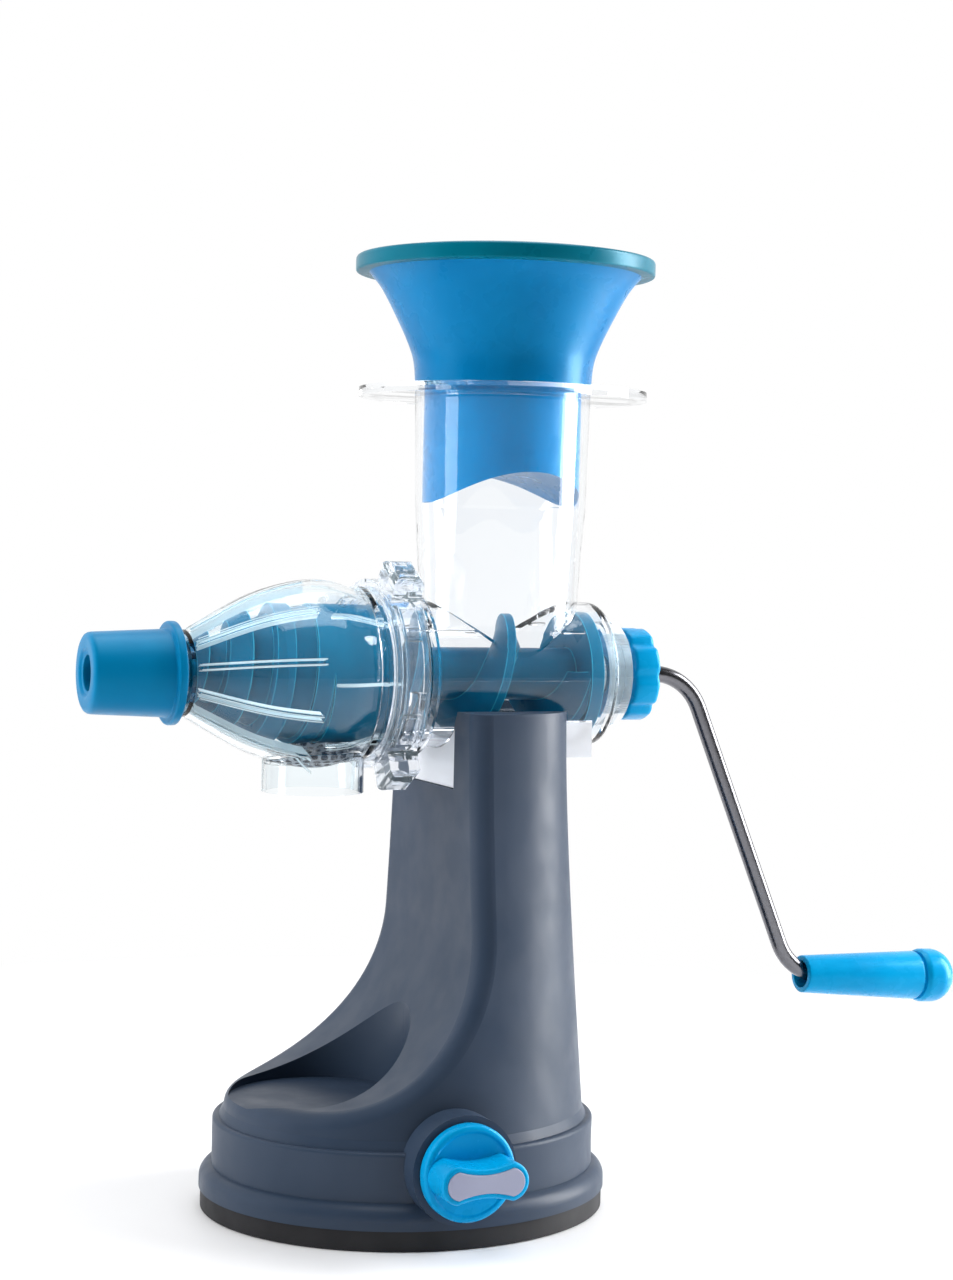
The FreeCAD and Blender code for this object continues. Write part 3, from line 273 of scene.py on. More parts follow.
lock_low, lock_high = (Vector(corner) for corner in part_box("lock_knob"))
inlay_low, inlay_high = (Vector(corner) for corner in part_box("lock_knob_inlay"))
lock_axis = Vector(((lock_low.x + lock_high.x) / 2, lock_high.y, (lock_low.z + lock_high.z) / 2))
towards_hand = (0.0, -1.0, 0.0)
lever_end = 6.2
lever_waist = 4.6
lever_reach = 8.55
lever_sides = 48
waist_steps = 6


def bow_tie(name, margin, back, front):
    """Bow-tie bar: a circle pulled apart, its long sides drawn in to a waist, then raised."""
    end = lever_end - margin
    waist = lever_waist - margin
    facet = math.radians(360 / lever_sides)
    gap = lever_reach + end * math.sin(facet)
    near = 0.05 * mm
    bpy.ops.object.select_all(action="DESELECT")
    bpy.ops.mesh.primitive_circle_add(vertices=lever_sides, radius=end * mm,
                                      location=(lock_axis.x, back, lock_axis.z),
                                      rotation=(math.radians(90), 0.0, 0.0))
    bar = bpy.context.object
    bar.name = name
    bpy.ops.object.transform_apply(location=True, rotation=True, scale=True)
    for side in (-1, 1):
        pick(bar, lambda co: (co.x - lock_axis.x) * side > near / 5)
        bpy.ops.transform.translate(value=(side * lever_reach * mm, 0.0, 0.0))
        bpy.ops.object.mode_set(mode="OBJECT")
    pick(bar, lambda co: abs(co.x - lock_axis.x) < gap * mm + near)
    bpy.ops.mesh.subdivide(number_cuts=waist_steps - 1)
    bpy.ops.object.mode_set(mode="OBJECT")
    for step in range(waist_steps):
        straight = end + (end * math.cos(facet) - end) * step / waist_steps
        hollow = waist + (straight - waist) * (step / waist_steps) ** 2
        pick(bar, lambda co: abs(abs(co.x - lock_axis.x) - gap * step / waist_steps * mm) < near)
        bpy.ops.transform.resize(value=(1.0, 1.0, hollow / straight), center_override=lock_axis)
        bpy.ops.object.mode_set(mode="OBJECT")
    pick(bar, lambda co: True)
    bpy.ops.mesh.edge_face_add()
    bpy.ops.mesh.extrude_region_move(TRANSFORM_OT_translate={"value": (0.0, front - back, 0.0)})
    bpy.ops.object.mode_set(mode="OBJECT")
    return settle(bar)


def soften_front(piece, front, width):
    """Rounds the edge of a piece's front face."""
    pick(piece, lambda co: abs(co.y - front) < 0.02 * mm)
    bpy.ops.mesh.bevel(offset=width * mm, segments=3, affect="EDGES")
    bpy.ops.object.mode_set(mode="OBJECT")
    return settle(piece)


shaft_room = 3.6
disc_radius = (lock_high.z - lock_low.z) / 2 / mm
disc_thickness = 4.6
disc_face = disc_thickness - 0.4
rim_width = 2.0
rim_foot = 2.5
disc_outline = rounded([(0.0, shaft_room, 0.0), (0.0, disc_radius, 0.4), (disc_thickness, disc_radius, 1.6),
                        (disc_thickness, disc_radius - rim_width, 0.3),
                        (disc_face, disc_radius - rim_foot, 0.3), (disc_face, shaft_room, 0.0),
                        (0.0, shaft_room, 0.0)])
lock_disc = turned("lock_disc", disc_outline, lock_axis, towards_hand)
lever_root = 1.0
lever_back = lock_high.y - (disc_thickness - lever_root) * mm
lever = soften_front(bow_tie("lever", 0.0, lever_back, lock_low.y), lock_low.y, width=0.9)
overshoot = 1.0
seat_margin = 1.6
seat_floor = (lock_high.y - inlay_high.y) / mm
seat = bow_tie("seat", seat_margin, inlay_high.y, lock_low.y - overshoot * mm)
combine(lever, seat, "DIFFERENCE")
pole = 0.02
shaft_end = 5.0
screw_head_room = 3.1
screw_outline = [(-overshoot, pole), (-overshoot, shaft_room), (shaft_end, shaft_room),
                 (shaft_end, screw_head_room), (seat_floor, screw_head_room), (seat_floor, pole)]
screw_room = turned("screw_room", screw_outline, lock_axis, towards_hand, sides=48)
combine(lever, screw_room, "DIFFERENCE")
combine(lock_disc, lever, "UNION")
settle(lock_disc)
inlay_margin = 1.7
inlay_plate = bow_tie("inlay_plate", inlay_margin, inlay_high.y, inlay_low.y)
soften_front(inlay_plate, inlay_low.y, width=0.3)

bright_blue = gloss_plastic("bright_blue", (0.0, 0.27, 0.57), (0.0, 0.31, 0.63),
                            roughness=0.26, orange_peel=0.004)
hand_over(lock_disc, "lock", "bright_blue", bright_blue, "lock_knob")
lock_inlay = gloss_plastic("lock_inlay", (0.34, 0.34, 0.46), (0.38, 0.38, 0.50),
                           roughness=0.4, orange_peel=0.004)
hand_over(inlay_plate, "lock", "lock_inlay", lock_inlay, "lock_knob_inlay")


def metal(name, colour, roughness, lines, stretch):
    """Bare metal with fine drawn or turned lines."""
    material, tree, surface, place = finish(name)
    marks = mottle(tree, place, lines, 2.0, stretch)
    tree.links.new(blend_colour(tree, between(tree, marks, 0.0, 1.0), [c * 0.86 for c in colour], colour),
                   surface.inputs["Base Color"])
    tree.links.new(between(tree, marks, roughness - 0.04, roughness + 0.06), surface.inputs["Roughness"])
    tree.links.new(relief(tree, marks, 0.003), surface.inputs["Normal"])
    surface.inputs["Metallic"].default_value = 1.0
    return material


zinc_steel = metal("zinc_steel", (0.55, 0.55, 0.58), roughness=0.34, lines=0.5, stretch=(1.0, 1.0, 1.0))
dress(zinc_steel, "cam_shaft", "shaft_clip", "lock_knob_screw", "grip_washer")


# ---- Barrel and hopper -------------------------------------------------------------------------
# One clear polycarbonate moulding: the barrel with its bayonet spigot, the oval throat, the round
# hopper with its feeding tray, and the block that drops into the column.
def calculate(tree, operation, *values):
    """Result of a Math node; each value is a number or a socket."""
    node = tree.nodes.new("ShaderNodeMath")
    node.operation = operation
    for socket, value in zip(node.inputs, values):
        if hasattr(value, "is_output"):
            tree.links.new(value, socket)
        else:
            socket.default_value = value
    return node.outputs[0]


def distance(tree, first, second):
    """Length of the diagonal whose two sides are given."""
    squares = [calculate(tree, "MULTIPLY", side, side) for side in (first, second)]
    return calculate(tree, "SQRT", calculate(tree, "ADD", *squares))


def stretch_between(tree, along, start, end, fade):
    """1 from start to end in millimetres, and 0 once fade past either."""
    after_start = between(tree, along, 0.0, 1.0, (start - fade) * mm, start * mm)
    before_end = between(tree, along, 1.0, 0.0, end * mm, (end + fade) * mm)
    return calculate(tree, "MULTIPLY", after_start, before_end)


knob_low, knob_high = (Vector(corner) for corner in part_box("drive_knob"))
axis_z = (knob_low.z + knob_high.z) / 2
barrel_outside = 25.0
block_start = 8.2
block_end = 58.5
block_shows = -8.0


def painted_block_reflection(tree, place):
    """1 on the mounting block, the only form below the axis that stands outside the barrel; there the
    block's partly painted white is laid.
    """
    split = tree.nodes.new("ShaderNodeSeparateXYZ")
    tree.links.new(place, split.inputs["Vector"])
    height = calculate(tree, "SUBTRACT", split.outputs["Z"], axis_z)
    reach = distance(tree, height, split.outputs["Y"])
    outside = between(tree, reach, 0.0, 1.0, (barrel_outside + 0.2) * mm, (barrel_outside + 0.6) * mm)
    below = between(tree, height, 1.0, 0.0, block_shows * mm, (block_shows + 1.0) * mm)
    along = stretch_between(tree, split.outputs["X"], block_start - 0.2, block_end, 0.2)
    return calculate(tree, "MULTIPLY", calculate(tree, "MULTIPLY", outside, below), along)


def clear_plastic(name, tint, roughness, wave, milk=0.0, milk_colour=(0.72, 0.88, 0.94), marks=(),
                  rims=None):
    """Clear moulded plastic: slow flow waves and scuffs, milky as a whole, and white on its marks.

    Each mark is how strongly its white is laid on and the function that draws it; here the marks are
    painted highlights on the cone's ribs and the barrel block's partly painted reflection. Rims are a
    function and a colour.
    """
    material, tree, surface, place = finish(name)
    surface.inputs["Base Color"].default_value = (*tint, 1.0)
    surface.inputs["Transmission Weight"].default_value = 1.0
    surface.inputs["IOR"].default_value = 1.40
    tree.links.new(between(tree, mottle(tree, place, 7.0, 4.0), roughness, roughness + 0.03, 0.5, 0.8),
                   surface.inputs["Roughness"])
    slow = relief(tree, mottle(tree, place, 16.0, 1.0, (0.5, 1.0, 1.0)), wave)
    tree.links.new(relief(tree, mottle(tree, place, 3.0, 2.0), wave * 0.06, slow), surface.inputs["Normal"])
    milk_and_painted_light = between(tree, mottle(tree, place, 5.0), milk * 0.8, milk * 1.2)
    # The marks lay painted highlights and painted reflections on as white.
    for strength, drawn in marks:
        milk_and_painted_light = calculate(tree, "MAXIMUM", milk_and_painted_light, calculate(tree, "MULTIPLY", drawn(tree, place), strength))
    white = tree.nodes.new("ShaderNodeBsdfDiffuse")
    white.inputs["Color"].default_value = (*milk_colour, 1.0)
    # The rims colour paints shade into the strainer's drain holes.
    if rims is not None:
        drawn, rim_colour = rims
        colour = blend_colour(tree, drawn(tree, place), milk_colour, rim_colour)
        tree.links.new(colour, white.inputs["Color"])
    milky = tree.nodes.new("ShaderNodeMixShader")
    tree.links.new(milk_and_painted_light, milky.inputs["Fac"])
    tree.links.new(surface.outputs["BSDF"], milky.inputs[1])
    tree.links.new(white.outputs["BSDF"], milky.inputs[2])
    shadow = tree.nodes.new("ShaderNodeLightPath").outputs["Is Shadow Ray"]
    see_through = tree.nodes.new("ShaderNodeBsdfTransparent")
    see_through.inputs["Color"].default_value = (0.93, 0.94, 0.95, 1.0)
    mix = tree.nodes.new("ShaderNodeMixShader")
    tree.links.new(shadow, mix.inputs["Fac"])
    tree.links.new(milky.outputs["Shader"], mix.inputs[1])
    tree.links.new(see_through.outputs["BSDF"], mix.inputs[2])
    tree.links.new(mix.outputs["Shader"], tree.nodes["Material Output"].inputs["Surface"])
    return material


# The mounting block is painted milky white: in part the milkiness of thick clear plastic, in part a painted
# reflection of the white room in its faces.
clear_barrel = clear_plastic("clear_barrel", (0.97, 0.985, 1.0), roughness=0.01, wave=0.08,
                             milk_colour=(0.94, 0.96, 1.0), marks=((0.75, painted_block_reflection),))
dress(clear_barrel, "juicer_barrel")


# ---- Press cone, strainer and locking ring -----------------------------------------------------
# The clear cone has ten strong crush ribs towards its nose and eight fine ones round the drum. The
# perforated strainer lies in its juice skirt, and a clear bayonet ring with three ears holds it.
def rib_highlight_lines(tree, place, count, phase, width, start, end):
    """1 along both edges of straight ribs that are spaced evenly about the barrel axis, else 0; there
    painted highlights are laid.
    """
    split = tree.nodes.new("ShaderNodeSeparateXYZ")
    tree.links.new(place, split.inputs["Vector"])
    height = calculate(tree, "SUBTRACT", split.outputs["Z"], axis_z)
    aside = calculate(tree, "MULTIPLY", split.outputs["Y"], -1.0)
    turn = calculate(tree, "SUBTRACT", calculate(tree, "ARCTAN2", aside, height), math.radians(phase))
    off_rib = calculate(tree, "WRAP", turn, math.pi / count, -math.pi / count)
    reach = distance(tree, height, aside)
    off_axis = calculate(tree, "MULTIPLY", calculate(tree, "ABSOLUTE", off_rib), reach)
    off_edge = calculate(tree, "ABSOLUTE", calculate(tree, "SUBTRACT", off_axis, width / 2 * mm))
    line = between(tree, off_edge, 1.0, 0.0, 0.12 * mm, 0.35 * mm)
    return calculate(tree, "MULTIPLY", line, stretch_between(tree, split.outputs["X"], start, end, 0.5))


def crush_rib_highlights(tree, place):
    """Painted highlights along the ten strong ribs towards the nose."""
    return rib_highlight_lines(tree, place, count=10, phase=8.0, width=1.8, start=-79.0, end=-42.0)


def drum_rib_highlights(tree, place):
    """Painted highlights along the eight fine ribs round the drum."""
    return rib_highlight_lines(tree, place, count=8, phase=4.5, width=0.4, start=-38.0, end=-15.4)


strainer_low, strainer_high = (Vector(corner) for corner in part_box("strainer"))
outlet_x = (strainer_low.x + strainer_high.x) / 2
strainer_reach = axis_z - strainer_low.z
hole_pitch = 3.3 * mm
rim_inside = 1.05 * mm
rim_outside = 1.35 * mm


def painted_hole_shade(tree, place):
    """1 round each drain hole of the staggered rows, which are bent about the barrel axis; there the holes'
    painted shade is laid.
    """
    split = tree.nodes.new("ShaderNodeSeparateXYZ")
    tree.links.new(place, split.inputs["Vector"])
    along = calculate(tree, "SUBTRACT", split.outputs["X"], outlet_x)
    drop = calculate(tree, "SUBTRACT", axis_z, split.outputs["Z"])
    turn = calculate(tree, "ARCTAN2", split.outputs["Y"], drop)
    around = calculate(tree, "MULTIPLY", turn, strainer_reach)
    from_hole = []
    for odd in (0, 1):
        row_x = calculate(tree, "SUBTRACT", along, odd * hole_pitch / 2)
        row_y = calculate(tree, "SUBTRACT", around, odd * hole_pitch)
        off_x = calculate(tree, "WRAP", row_x, hole_pitch / 2, -hole_pitch / 2)
        off_y = calculate(tree, "WRAP", row_y, hole_pitch, -hole_pitch)
        from_hole.append(distance(tree, off_x, off_y))
    return between(tree, calculate(tree, "MINIMUM", *from_hole), 1.0, 0.0, rim_inside, rim_outside)


# Both edges of every rib on the cone are painted with pale lines: painted highlights.
clear_cone = clear_plastic("clear_cone", (0.95, 0.985, 1.0), roughness=0.0, wave=0.05,
                           marks=((0.8, crush_rib_highlights), (0.5, drum_rib_highlights)))
dress(clear_cone, "press_cone")
clear_ring = clear_plastic("clear_ring", (0.93, 0.95, 1.0), roughness=0.02, wave=0.06, milk=0.05)
dress(clear_ring, "locking_ring")
# The strainer is milky grey, with its drain holes painted near-black: painted shade in the holes.
strainer_clear = clear_plastic("strainer_clear", (0.95, 0.98, 1.0), roughness=0.12, wave=0.04, milk=0.8,
                               milk_colour=(0.40, 0.46, 0.52), rims=(painted_hole_shade, (0.03, 0.05, 0.08)))
dress(strainer_clear, "strainer")


# ---- Seals and rear bush -----------------------------------------------------------------------
# Silicone rings are pressed between the bush and the barrel, between the cone and the barrel, and
# into the waste cap. The bush that the auger turns in is a ring of milky acetal.
silicone = grained_plastic("silicone", (0.62, 0.64, 0.67), (0.70, 0.72, 0.75),
                           roughness=0.5, grain=1.2, depth=0.004)
dress(silicone, "rear_seal", "cone_seal", "waste_cap_washer")
milky_acetal = clear_plastic("milky_acetal", (0.86, 0.88, 0.96), roughness=0.2, wave=0.03, milk=0.5)
dress(milky_acetal, "rear_bush")


# ---- Auger -------------------------------------------------------------------------------------
# A deep blue acetal screw: one coarse flight draws the fruit in, the drum and the fine conical
# flights press it. A brass insert in its end takes the crank rod's thread.
# The flights' sharp edges get a pale blue painted highlight.
auger_blue = gloss_plastic("auger_blue", (0.0, 0.088, 0.175), (0.0, 0.12, 0.225),
                           roughness=0.3, orange_peel=0.006, edge=(0.04, 0.42, 0.60), shine=0.12)
dress(auger_blue, "auger")
brass = metal("brass", (0.72, 0.5, 0.2), roughness=0.3, lines=0.4, stretch=(1.0, 1.0, 1.0))
dress(brass, "auger_insert")


# ---- Drive knob --------------------------------------------------------------------------------
# A gloss blue hand knob with eight shallow flutes and a low hub, moulded in one. It is screwed on
# the crank rod and turned up against the auger's end.
barrel_way = Vector((1.0, 0.0, 0.0))
knob_place = Vector((knob_low.x, 0.0, axis_z))
knob_length = (knob_high.x - knob_low.x) / mm
knob_radius = (knob_high.z - knob_low.z) / 2 / mm
knob_face = knob_length - 1.2
knob_bore = 2.95
hub_foot = 8.6
hub_top = 7.8
knob_outline = rounded([(0.0, knob_bore, 0.0), (0.0, knob_radius, 1.2), (knob_face, knob_radius, 1.8),
                        (knob_face, hub_foot, 0.3), (knob_length, hub_top, 0.5),
                        (knob_length, knob_bore, 0.0), (0.0, knob_bore, 0.0)])
knob_sides = 96
drive_knob = turned("drive_knob_moulding", knob_outline, knob_place, barrel_way, knob_sides)
flute_count = 8
lines_to_flute = knob_sides // flute_count
flute_hollow = ((0, 0.915), (1, 0.935), (2, 0.98))
rim_starts = 11 * mm


def lines_from_flute(co):
    """How many lines of vertices a point on the rim lies from the middle of its flute."""
    turn = math.degrees(math.atan2(co.z - axis_z, co.y))
    line = round((turn % (360 / flute_count)) / (360 / knob_sides))
    return min(line, lines_to_flute - line)


def on_rim(co):
    """True on the fluted rim, false on the hub and in the bore."""
    return math.hypot(co.y, co.z - axis_z) > rim_starts


for lines_away, share in flute_hollow:
    pick(drive_knob, lambda co: on_rim(co) and lines_from_flute(co) == lines_away)
    bpy.ops.transform.resize(value=(1.0, share, share), center_override=knob_place)
    bpy.ops.object.mode_set(mode="OBJECT")
hand_over(drive_knob, "drive", "bright_blue", bright_blue, "drive_knob")


# ---- Crank rod ---------------------------------------------------------------------------------
# A polished steel rod, bent twice. One end is screwed into the auger and the other carries the
# grip, which a riveted washer keeps on.
polished_steel = metal("polished_steel", (0.17, 0.17, 0.185), roughness=0.2, lines=0.35,
                       stretch=(1.0, 1.0, 0.2))
dress(polished_steel, "crank_rod")


# ---- Grip --------------------------------------------------------------------------------------
# A hollow tapered sleeve of the same blue plastic turns on the rod's end. A rounded cap is pressed
# into its far end and leaves a narrow groove.
grip_place = Vector((156.0, 0.0, 70.2)) * mm
droop = math.radians(3.2)
grip_way = Vector((math.cos(droop), 0.0, -math.sin(droop)))
grip_length = 48.5
mouth_radius = 6.8
mouth_room = 5.0
mouth_depth = 8.0
bearing_start = 10.0
bearing_end = 44.1
bearing_bore = 2.98
sleeve_end = 9.0
socket_radius = 7.2
sleeve_outline = rounded([(0.0, mouth_room, 0.0), (0.0, mouth_radius, 0.7), (grip_length, sleeve_end, 0.5),
                          (grip_length, socket_radius, 0.0), (bearing_end, socket_radius, 0.0),
                          (bearing_end, bearing_bore, 0.0), (bearing_start, bearing_bore, 0.0),
                          (mouth_depth, mouth_room, 0.0), (0.0, mouth_room, 0.0)])
sleeve = turned("grip_moulding", sleeve_outline, grip_place, grip_way)
hand_over(sleeve, "grip", "bright_blue", bright_blue, "grip_sleeve")

end_start = grip_length + 0.1
end_length = 16.0
end_radius = 9.9
ball_squash = 0.9
ball_rise = end_radius * ball_squash
ball_start = end_start + end_length - ball_rise
ball_turns = [math.radians(6.0 * k) for k in range(15)]
ball = [(ball_start + ball_rise * math.sin(turn), end_radius * math.cos(turn), 0.0) for turn in ball_turns]
spigot_start = end_start - 2.0
spigot_radius = 7.1
spigot_room = 5.5
groove_end = end_start + 1.2
groove_radius = 8.0
shoulder_radius = 9.1
shoulder_end = end_start + 2.6
end_outline = [(spigot_start, spigot_room, 0.0), (spigot_start, spigot_radius, 0.3),
               (end_start, spigot_radius, 0.0), (end_start, groove_radius, 0.0),
               (groove_end, groove_radius, 0.0), (groove_end, shoulder_radius, 0.2),
               (shoulder_end, end_radius, 0.8)]
end_outline += ball
end_outline += [(ball_start + ball_rise, pole, 0.0), (ball_start, pole, 0.0),
                (ball_start, spigot_room, 0.0), (spigot_start, spigot_room, 0.0)]
end_cap = turned("grip_end", rounded(end_outline), grip_place, grip_way)
hand_over(end_cap, "grip", "bright_blue", bright_blue, "grip_end_cap")


# ---- Waste cap ---------------------------------------------------------------------------------
# A deeper blue cap, screwed on the cone's threaded snout. The dry pulp leaves through the sunk hole
# in its end.
cap_blue = gloss_plastic("cap_blue", (0.0, 0.165, 0.36), (0.0, 0.19, 0.40),
                         roughness=0.34, orange_peel=0.006)
cap_low, cap_high = (Vector(corner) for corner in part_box("waste_cap"))
cap_length = (cap_high.x - cap_low.x) / mm
thread_room = 11.55
flange_width = 3.0
flange_radius = 17.1
cap_root = 14.5
cap_end = 13.3
pulp_hole = 5.9
sunk_floor = cap_length - 0.9
sunk_top = 8.0
sunk_foot = 7.2
end_wall = cap_length - 4.0
cap_outline = rounded([(0.0, thread_room, 0.3), (0.0, flange_radius, 0.8),
                       (flange_width, flange_radius, 1.0), (flange_width, cap_root, 0.7),
                       (cap_length, cap_end, 2.2), (cap_length, sunk_top, 0.5),
                       (sunk_floor, sunk_foot, 0.3), (sunk_floor, pulp_hole, 0.4),
                       (end_wall, pulp_hole, 0.3), (end_wall, thread_room, 0.5),
                       (0.0, thread_room, 0.3)])
waste_cap = turned("waste_cap_moulding", cap_outline, (cap_high.x, 0.0, axis_z), -barrel_way)
hand_over(waste_cap, "pulp_cap", "cap_blue", cap_blue, "waste_cap")


# ---- Pusher ------------------------------------------------------------------------------------
# A hollow blue plunger with an arched foot and a trumpet top, moulded in one. A teal lid is
# plugged into the trumpet and overhangs its rim.
def smooth_line(points, steps=5):
    """Smooth outline that passes through all the points."""
    ends = [points[0]] + points + [points[-1]]
    line = []
    for a, b, c, d in zip(ends, ends[1:], ends[2:], ends[3:]):
        for k in range(steps):
            t = k / steps
            line.append([(2 * b[i] + (c[i] - a[i]) * t + (2 * a[i] - 5 * b[i] + 4 * c[i] - d[i]) * t ** 2
                          + (3 * b[i] - a[i] - 3 * c[i] + d[i]) * t ** 3) / 2 for i in (0, 1)])
    return line + [list(points[-1])]


lid_low, lid_high = (Vector(corner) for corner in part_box("pusher_cap"))
pusher_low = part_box("pusher_body")[0]
hopper_x = (lid_low.x + lid_high.x) / 2
pusher_place = Vector((hopper_x, 0.0, pusher_low[2]))
upwards = (0.0, 0.0, 1.0)
stem_radius = 27.0
stem_edge = 0.4
arch_height = 11.0
arch_radius = (stem_radius ** 2 + arch_height ** 2) / (2 * arch_height)
pusher_wall = 2.2
pusher_sides = 128
neck = 38.4
neck_radius = 30.2
flare_height = 40.6
rim_radius = 46.8
flare = smooth_line([(0.0, neck_radius), (9.0, 30.8), (15.0, 32.4), (23.5, 36.2), (35.0, 42.3),
                     (flare_height, rim_radius)])


def arch(radius):
    """Cylinder across the pusher that hollows its foot."""
    bpy.ops.object.select_all(action="DESELECT")
    middle = (hopper_x, 0.0, pusher_low[2] + (arch_height - arch_radius) * mm)
    bpy.ops.mesh.primitive_cylinder_add(vertices=160, radius=radius * mm, depth=4 * stem_radius * mm,
                                        location=middle, rotation=(math.radians(90), 0.0, 0.0))
    cutter = bpy.context.object
    bpy.ops.object.transform_apply(location=True, rotation=True, scale=True)
    return cutter


stem_outline = [(0.0, pole), (0.0, stem_radius - stem_edge), (stem_edge, stem_radius), (neck, stem_radius),
                (neck, neck_radius - stem_edge), (neck + stem_edge, neck_radius)]
stem_outline += [(neck + height, radius) for height, radius in flare[2:]]
stem_outline += [(neck + flare_height, pole)]
plunger = turned("plunger", stem_outline, pusher_place, upwards, pusher_sides)
combine(plunger, arch(arch_radius), "DIFFERENCE")
room_radius = stem_radius - pusher_wall
step_height = neck + pusher_wall
room_outline = [(0.0, pole), (0.0, room_radius), (step_height, room_radius),
                (step_height, neck_radius - pusher_wall)]
room_outline += [(neck + height, radius - pusher_wall) for height, radius in flare
                 if height > pusher_wall + 0.5]
room_top = neck + flare_height + 1.4
room_outline += [(room_top, rim_radius - pusher_wall), (room_top, pole)]
room = turned("plunger_room", room_outline, pusher_place, upwards, pusher_sides)
combine(room, arch(arch_radius + pusher_wall), "DIFFERENCE")
combine(plunger, room, "DIFFERENCE")
settle(plunger)
pusher_blue = gloss_plastic("pusher_blue", (0.0, 0.155, 0.39), (0.0, 0.185, 0.44),
                            roughness=0.28, orange_peel=0.004)
hand_over(plunger, "pusher", "pusher_blue", pusher_blue, "pusher_body")

lid_radius = (lid_high.x - lid_low.x) / 2 / mm
plug_depth = 4.0
plug_radius = 39.7
plug_inside = 37.7
rim_height = 5.4
rim_top = plug_depth + rim_height
ledge = 2.6
ledge_slope = 0.1
lid_skin = 2.4
under_reach = 36.0
crown = (lid_high.z - lid_low.z) / mm - plug_depth - rim_height
dome = [(rim_top + crown * (1 - (radius / lid_radius) ** 2), radius)
        for radius in (lid_radius * k / 12 for k in range(11, 0, -1))]
under_middle = plug_depth + 6.2
under_edge = plug_depth + 3.4
lid_outline = [(under_middle, pole, 0.0)]
lid_outline += [(height - lid_skin, radius, 0.0) for height, radius in reversed(dome)
                if radius < under_reach]
lid_outline += [(under_edge, plug_inside, 0.6), (0.0, plug_inside, 0.4), (0.0, plug_radius, 0.5),
                (plug_depth, plug_radius, 0.6), (plug_depth, lid_radius, 0.9),
                (rim_top, lid_radius, 1.3), (rim_top + ledge_slope, lid_radius - ledge, 0.3)]
lid_outline += [(height, radius, 0.0) for height, radius in dome]
lid_outline += [(rim_top + crown, pole, 0.0)]
lid = turned("pusher_lid", rounded(lid_outline), (hopper_x, 0.0, lid_low.z), upwards, pusher_sides)
lid_teal = gloss_plastic("lid_teal", (0.0, 0.12, 0.18), (0.0, 0.14, 0.21),
                         roughness=0.30, orange_peel=0.004)
hand_over(lid, "pusher", "lid_teal", lid_teal, "pusher_cap")


# ---- Studio ------------------------------------------------------------------------------------
# A white floor that fades into a white room. Two tall soft boxes stand at the sides and one hangs
# overhead, all turned to the middle of the juicer.
juicer_middle = (0.03, 0.0, 0.16)


def soft_box(name, place, width, height, power):
    """Rectangular soft box that faces the juicer."""
    lamp = bpy.data.lights.new(name, "AREA")
    lamp.shape = "RECTANGLE"
    lamp.size = width
    lamp.size_y = height
    lamp.energy = power
    holder = bpy.data.objects.new(name, lamp)
    bpy.context.scene.collection.objects.link(holder)
    holder.location = place
    holder.rotation_euler = (Vector(juicer_middle) - Vector(place)).to_track_quat("-Z", "Y").to_euler()
    return holder


soft_box("box_right", (1.05, -0.20, 0.35), width=0.5, height=1.1, power=26.0)
soft_box("box_left", (-0.85, 0.10, 0.45), width=0.35, height=1.0, power=8.0).visible_glossy = False
soft_box("box_top", (0.1, 0.0, 1.15), width=1.0, height=0.8, power=8.0)

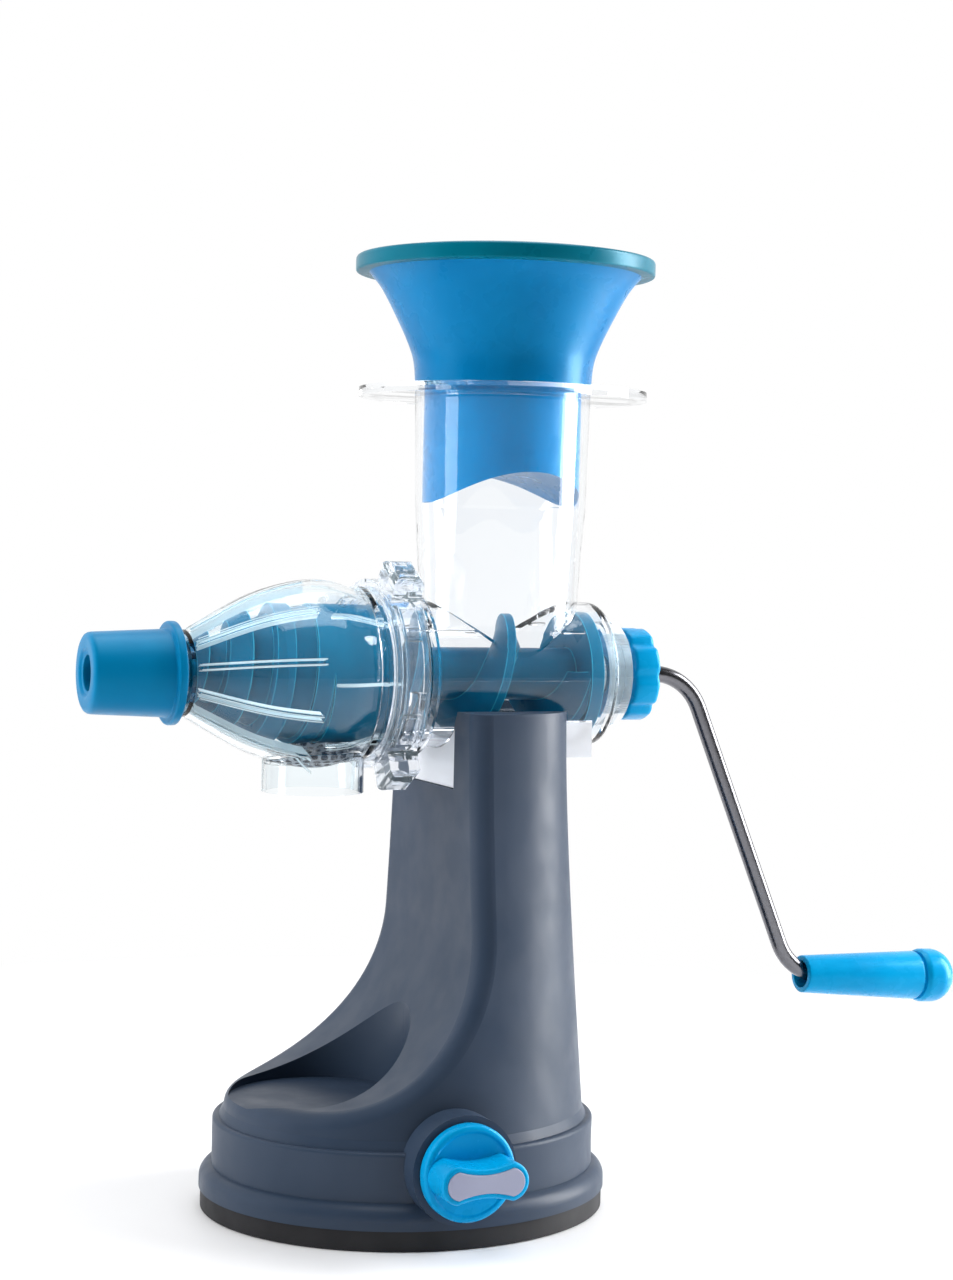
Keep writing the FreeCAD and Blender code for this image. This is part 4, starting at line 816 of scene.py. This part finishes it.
world = bpy.data.worlds.new("studio")
bpy.context.scene.world = world
world.use_nodes = True
sky = world.node_tree
paths = sky.nodes.new("ShaderNodeLightPath")
way = sky.nodes.new("ShaderNodeSeparateXYZ")
sky.links.new(sky.nodes.new("ShaderNodeTexCoord").outputs["Generated"], way.inputs["Vector"])
white_wall = between(sky, way.outputs["Y"], 0.10, 1.0, 0.0, 0.35)
plain = calculate(sky, "MAXIMUM", paths.outputs["Is Camera Ray"], paths.outputs["Is Transmission Ray"])
seen = sky.nodes.new("ShaderNodeMix")
sky.links.new(paths.outputs["Is Glossy Ray"], seen.inputs["Factor"])
sky.links.new(between(sky, way.outputs["Y"], 0.15, 0.62, -0.4, 0.6), seen.inputs["A"])
sky.links.new(white_wall, seen.inputs["B"])
sky.nodes["Background"].inputs["Color"].default_value = (1.0, 1.0, 1.0, 1.0)
sky.links.new(calculate(sky, "MAXIMUM", plain, seen.outputs["Result"]),
              sky.nodes["Background"].inputs["Strength"])
bpy.context.scene.cycles.max_bounces = 24
bpy.context.scene.cycles.transmission_bounces = 24

bpy.ops.object.select_all(action="DESELECT")
bpy.ops.mesh.primitive_circle_add(vertices=64, radius=3.0, fill_type="NGON", location=(0, 0, -0.0003))
floor = bpy.context.object
floor.name = "floor"
floor_white, tree, surface, place = finish("floor_white")
surface.inputs["Base Color"].default_value = (0.9, 0.9, 0.91, 1.0)
surface.inputs["Roughness"].default_value = 0.55
glow = tree.nodes.new("ShaderNodeEmission")
glow.inputs["Strength"].default_value = 1.0
reach = tree.nodes.new("ShaderNodeVectorMath")
reach.operation = "LENGTH"
tree.links.new(place, reach.inputs[0])
fade = between(tree, reach.outputs["Value"], 0.0, 1.0, 0.16, 0.5)
rays = tree.nodes.new("ShaderNodeLightPath")
fade = calculate(tree, "MULTIPLY", fade, calculate(tree, "MAXIMUM", rays.outputs["Is Camera Ray"],
                                                   rays.outputs["Is Transmission Ray"]))
mix = tree.nodes.new("ShaderNodeMixShader")
tree.links.new(fade, mix.inputs["Fac"])
tree.links.new(surface.outputs["BSDF"], mix.inputs[1])
tree.links.new(glow.outputs["Emission"], mix.inputs[2])
tree.links.new(mix.outputs["Shader"], tree.nodes["Material Output"].inputs["Surface"])
floor.data.materials.append(floor_white)


# ---- Camera ------------------------------------------------------------------------------------
# A long lens, a little above the barrel and a little to the left, looks at the lock's side. The
# Standard view is used, which doesn't dull bright colours.
camera = bpy.data.objects.new("camera", bpy.data.cameras.new("camera"))
bpy.context.scene.collection.objects.link(camera)
camera.data.lens = 68.24
camera.data.sensor_width = 36.0
camera.data.clip_start = 0.01
camera.location = (-0.306645, -0.767090, 0.221988)
camera.rotation_euler = [math.radians(a) for a in (87.953, -1.3069, -23.223)]
bpy.context.scene.camera = camera
bpy.context.scene.view_settings.view_transform = "Standard"
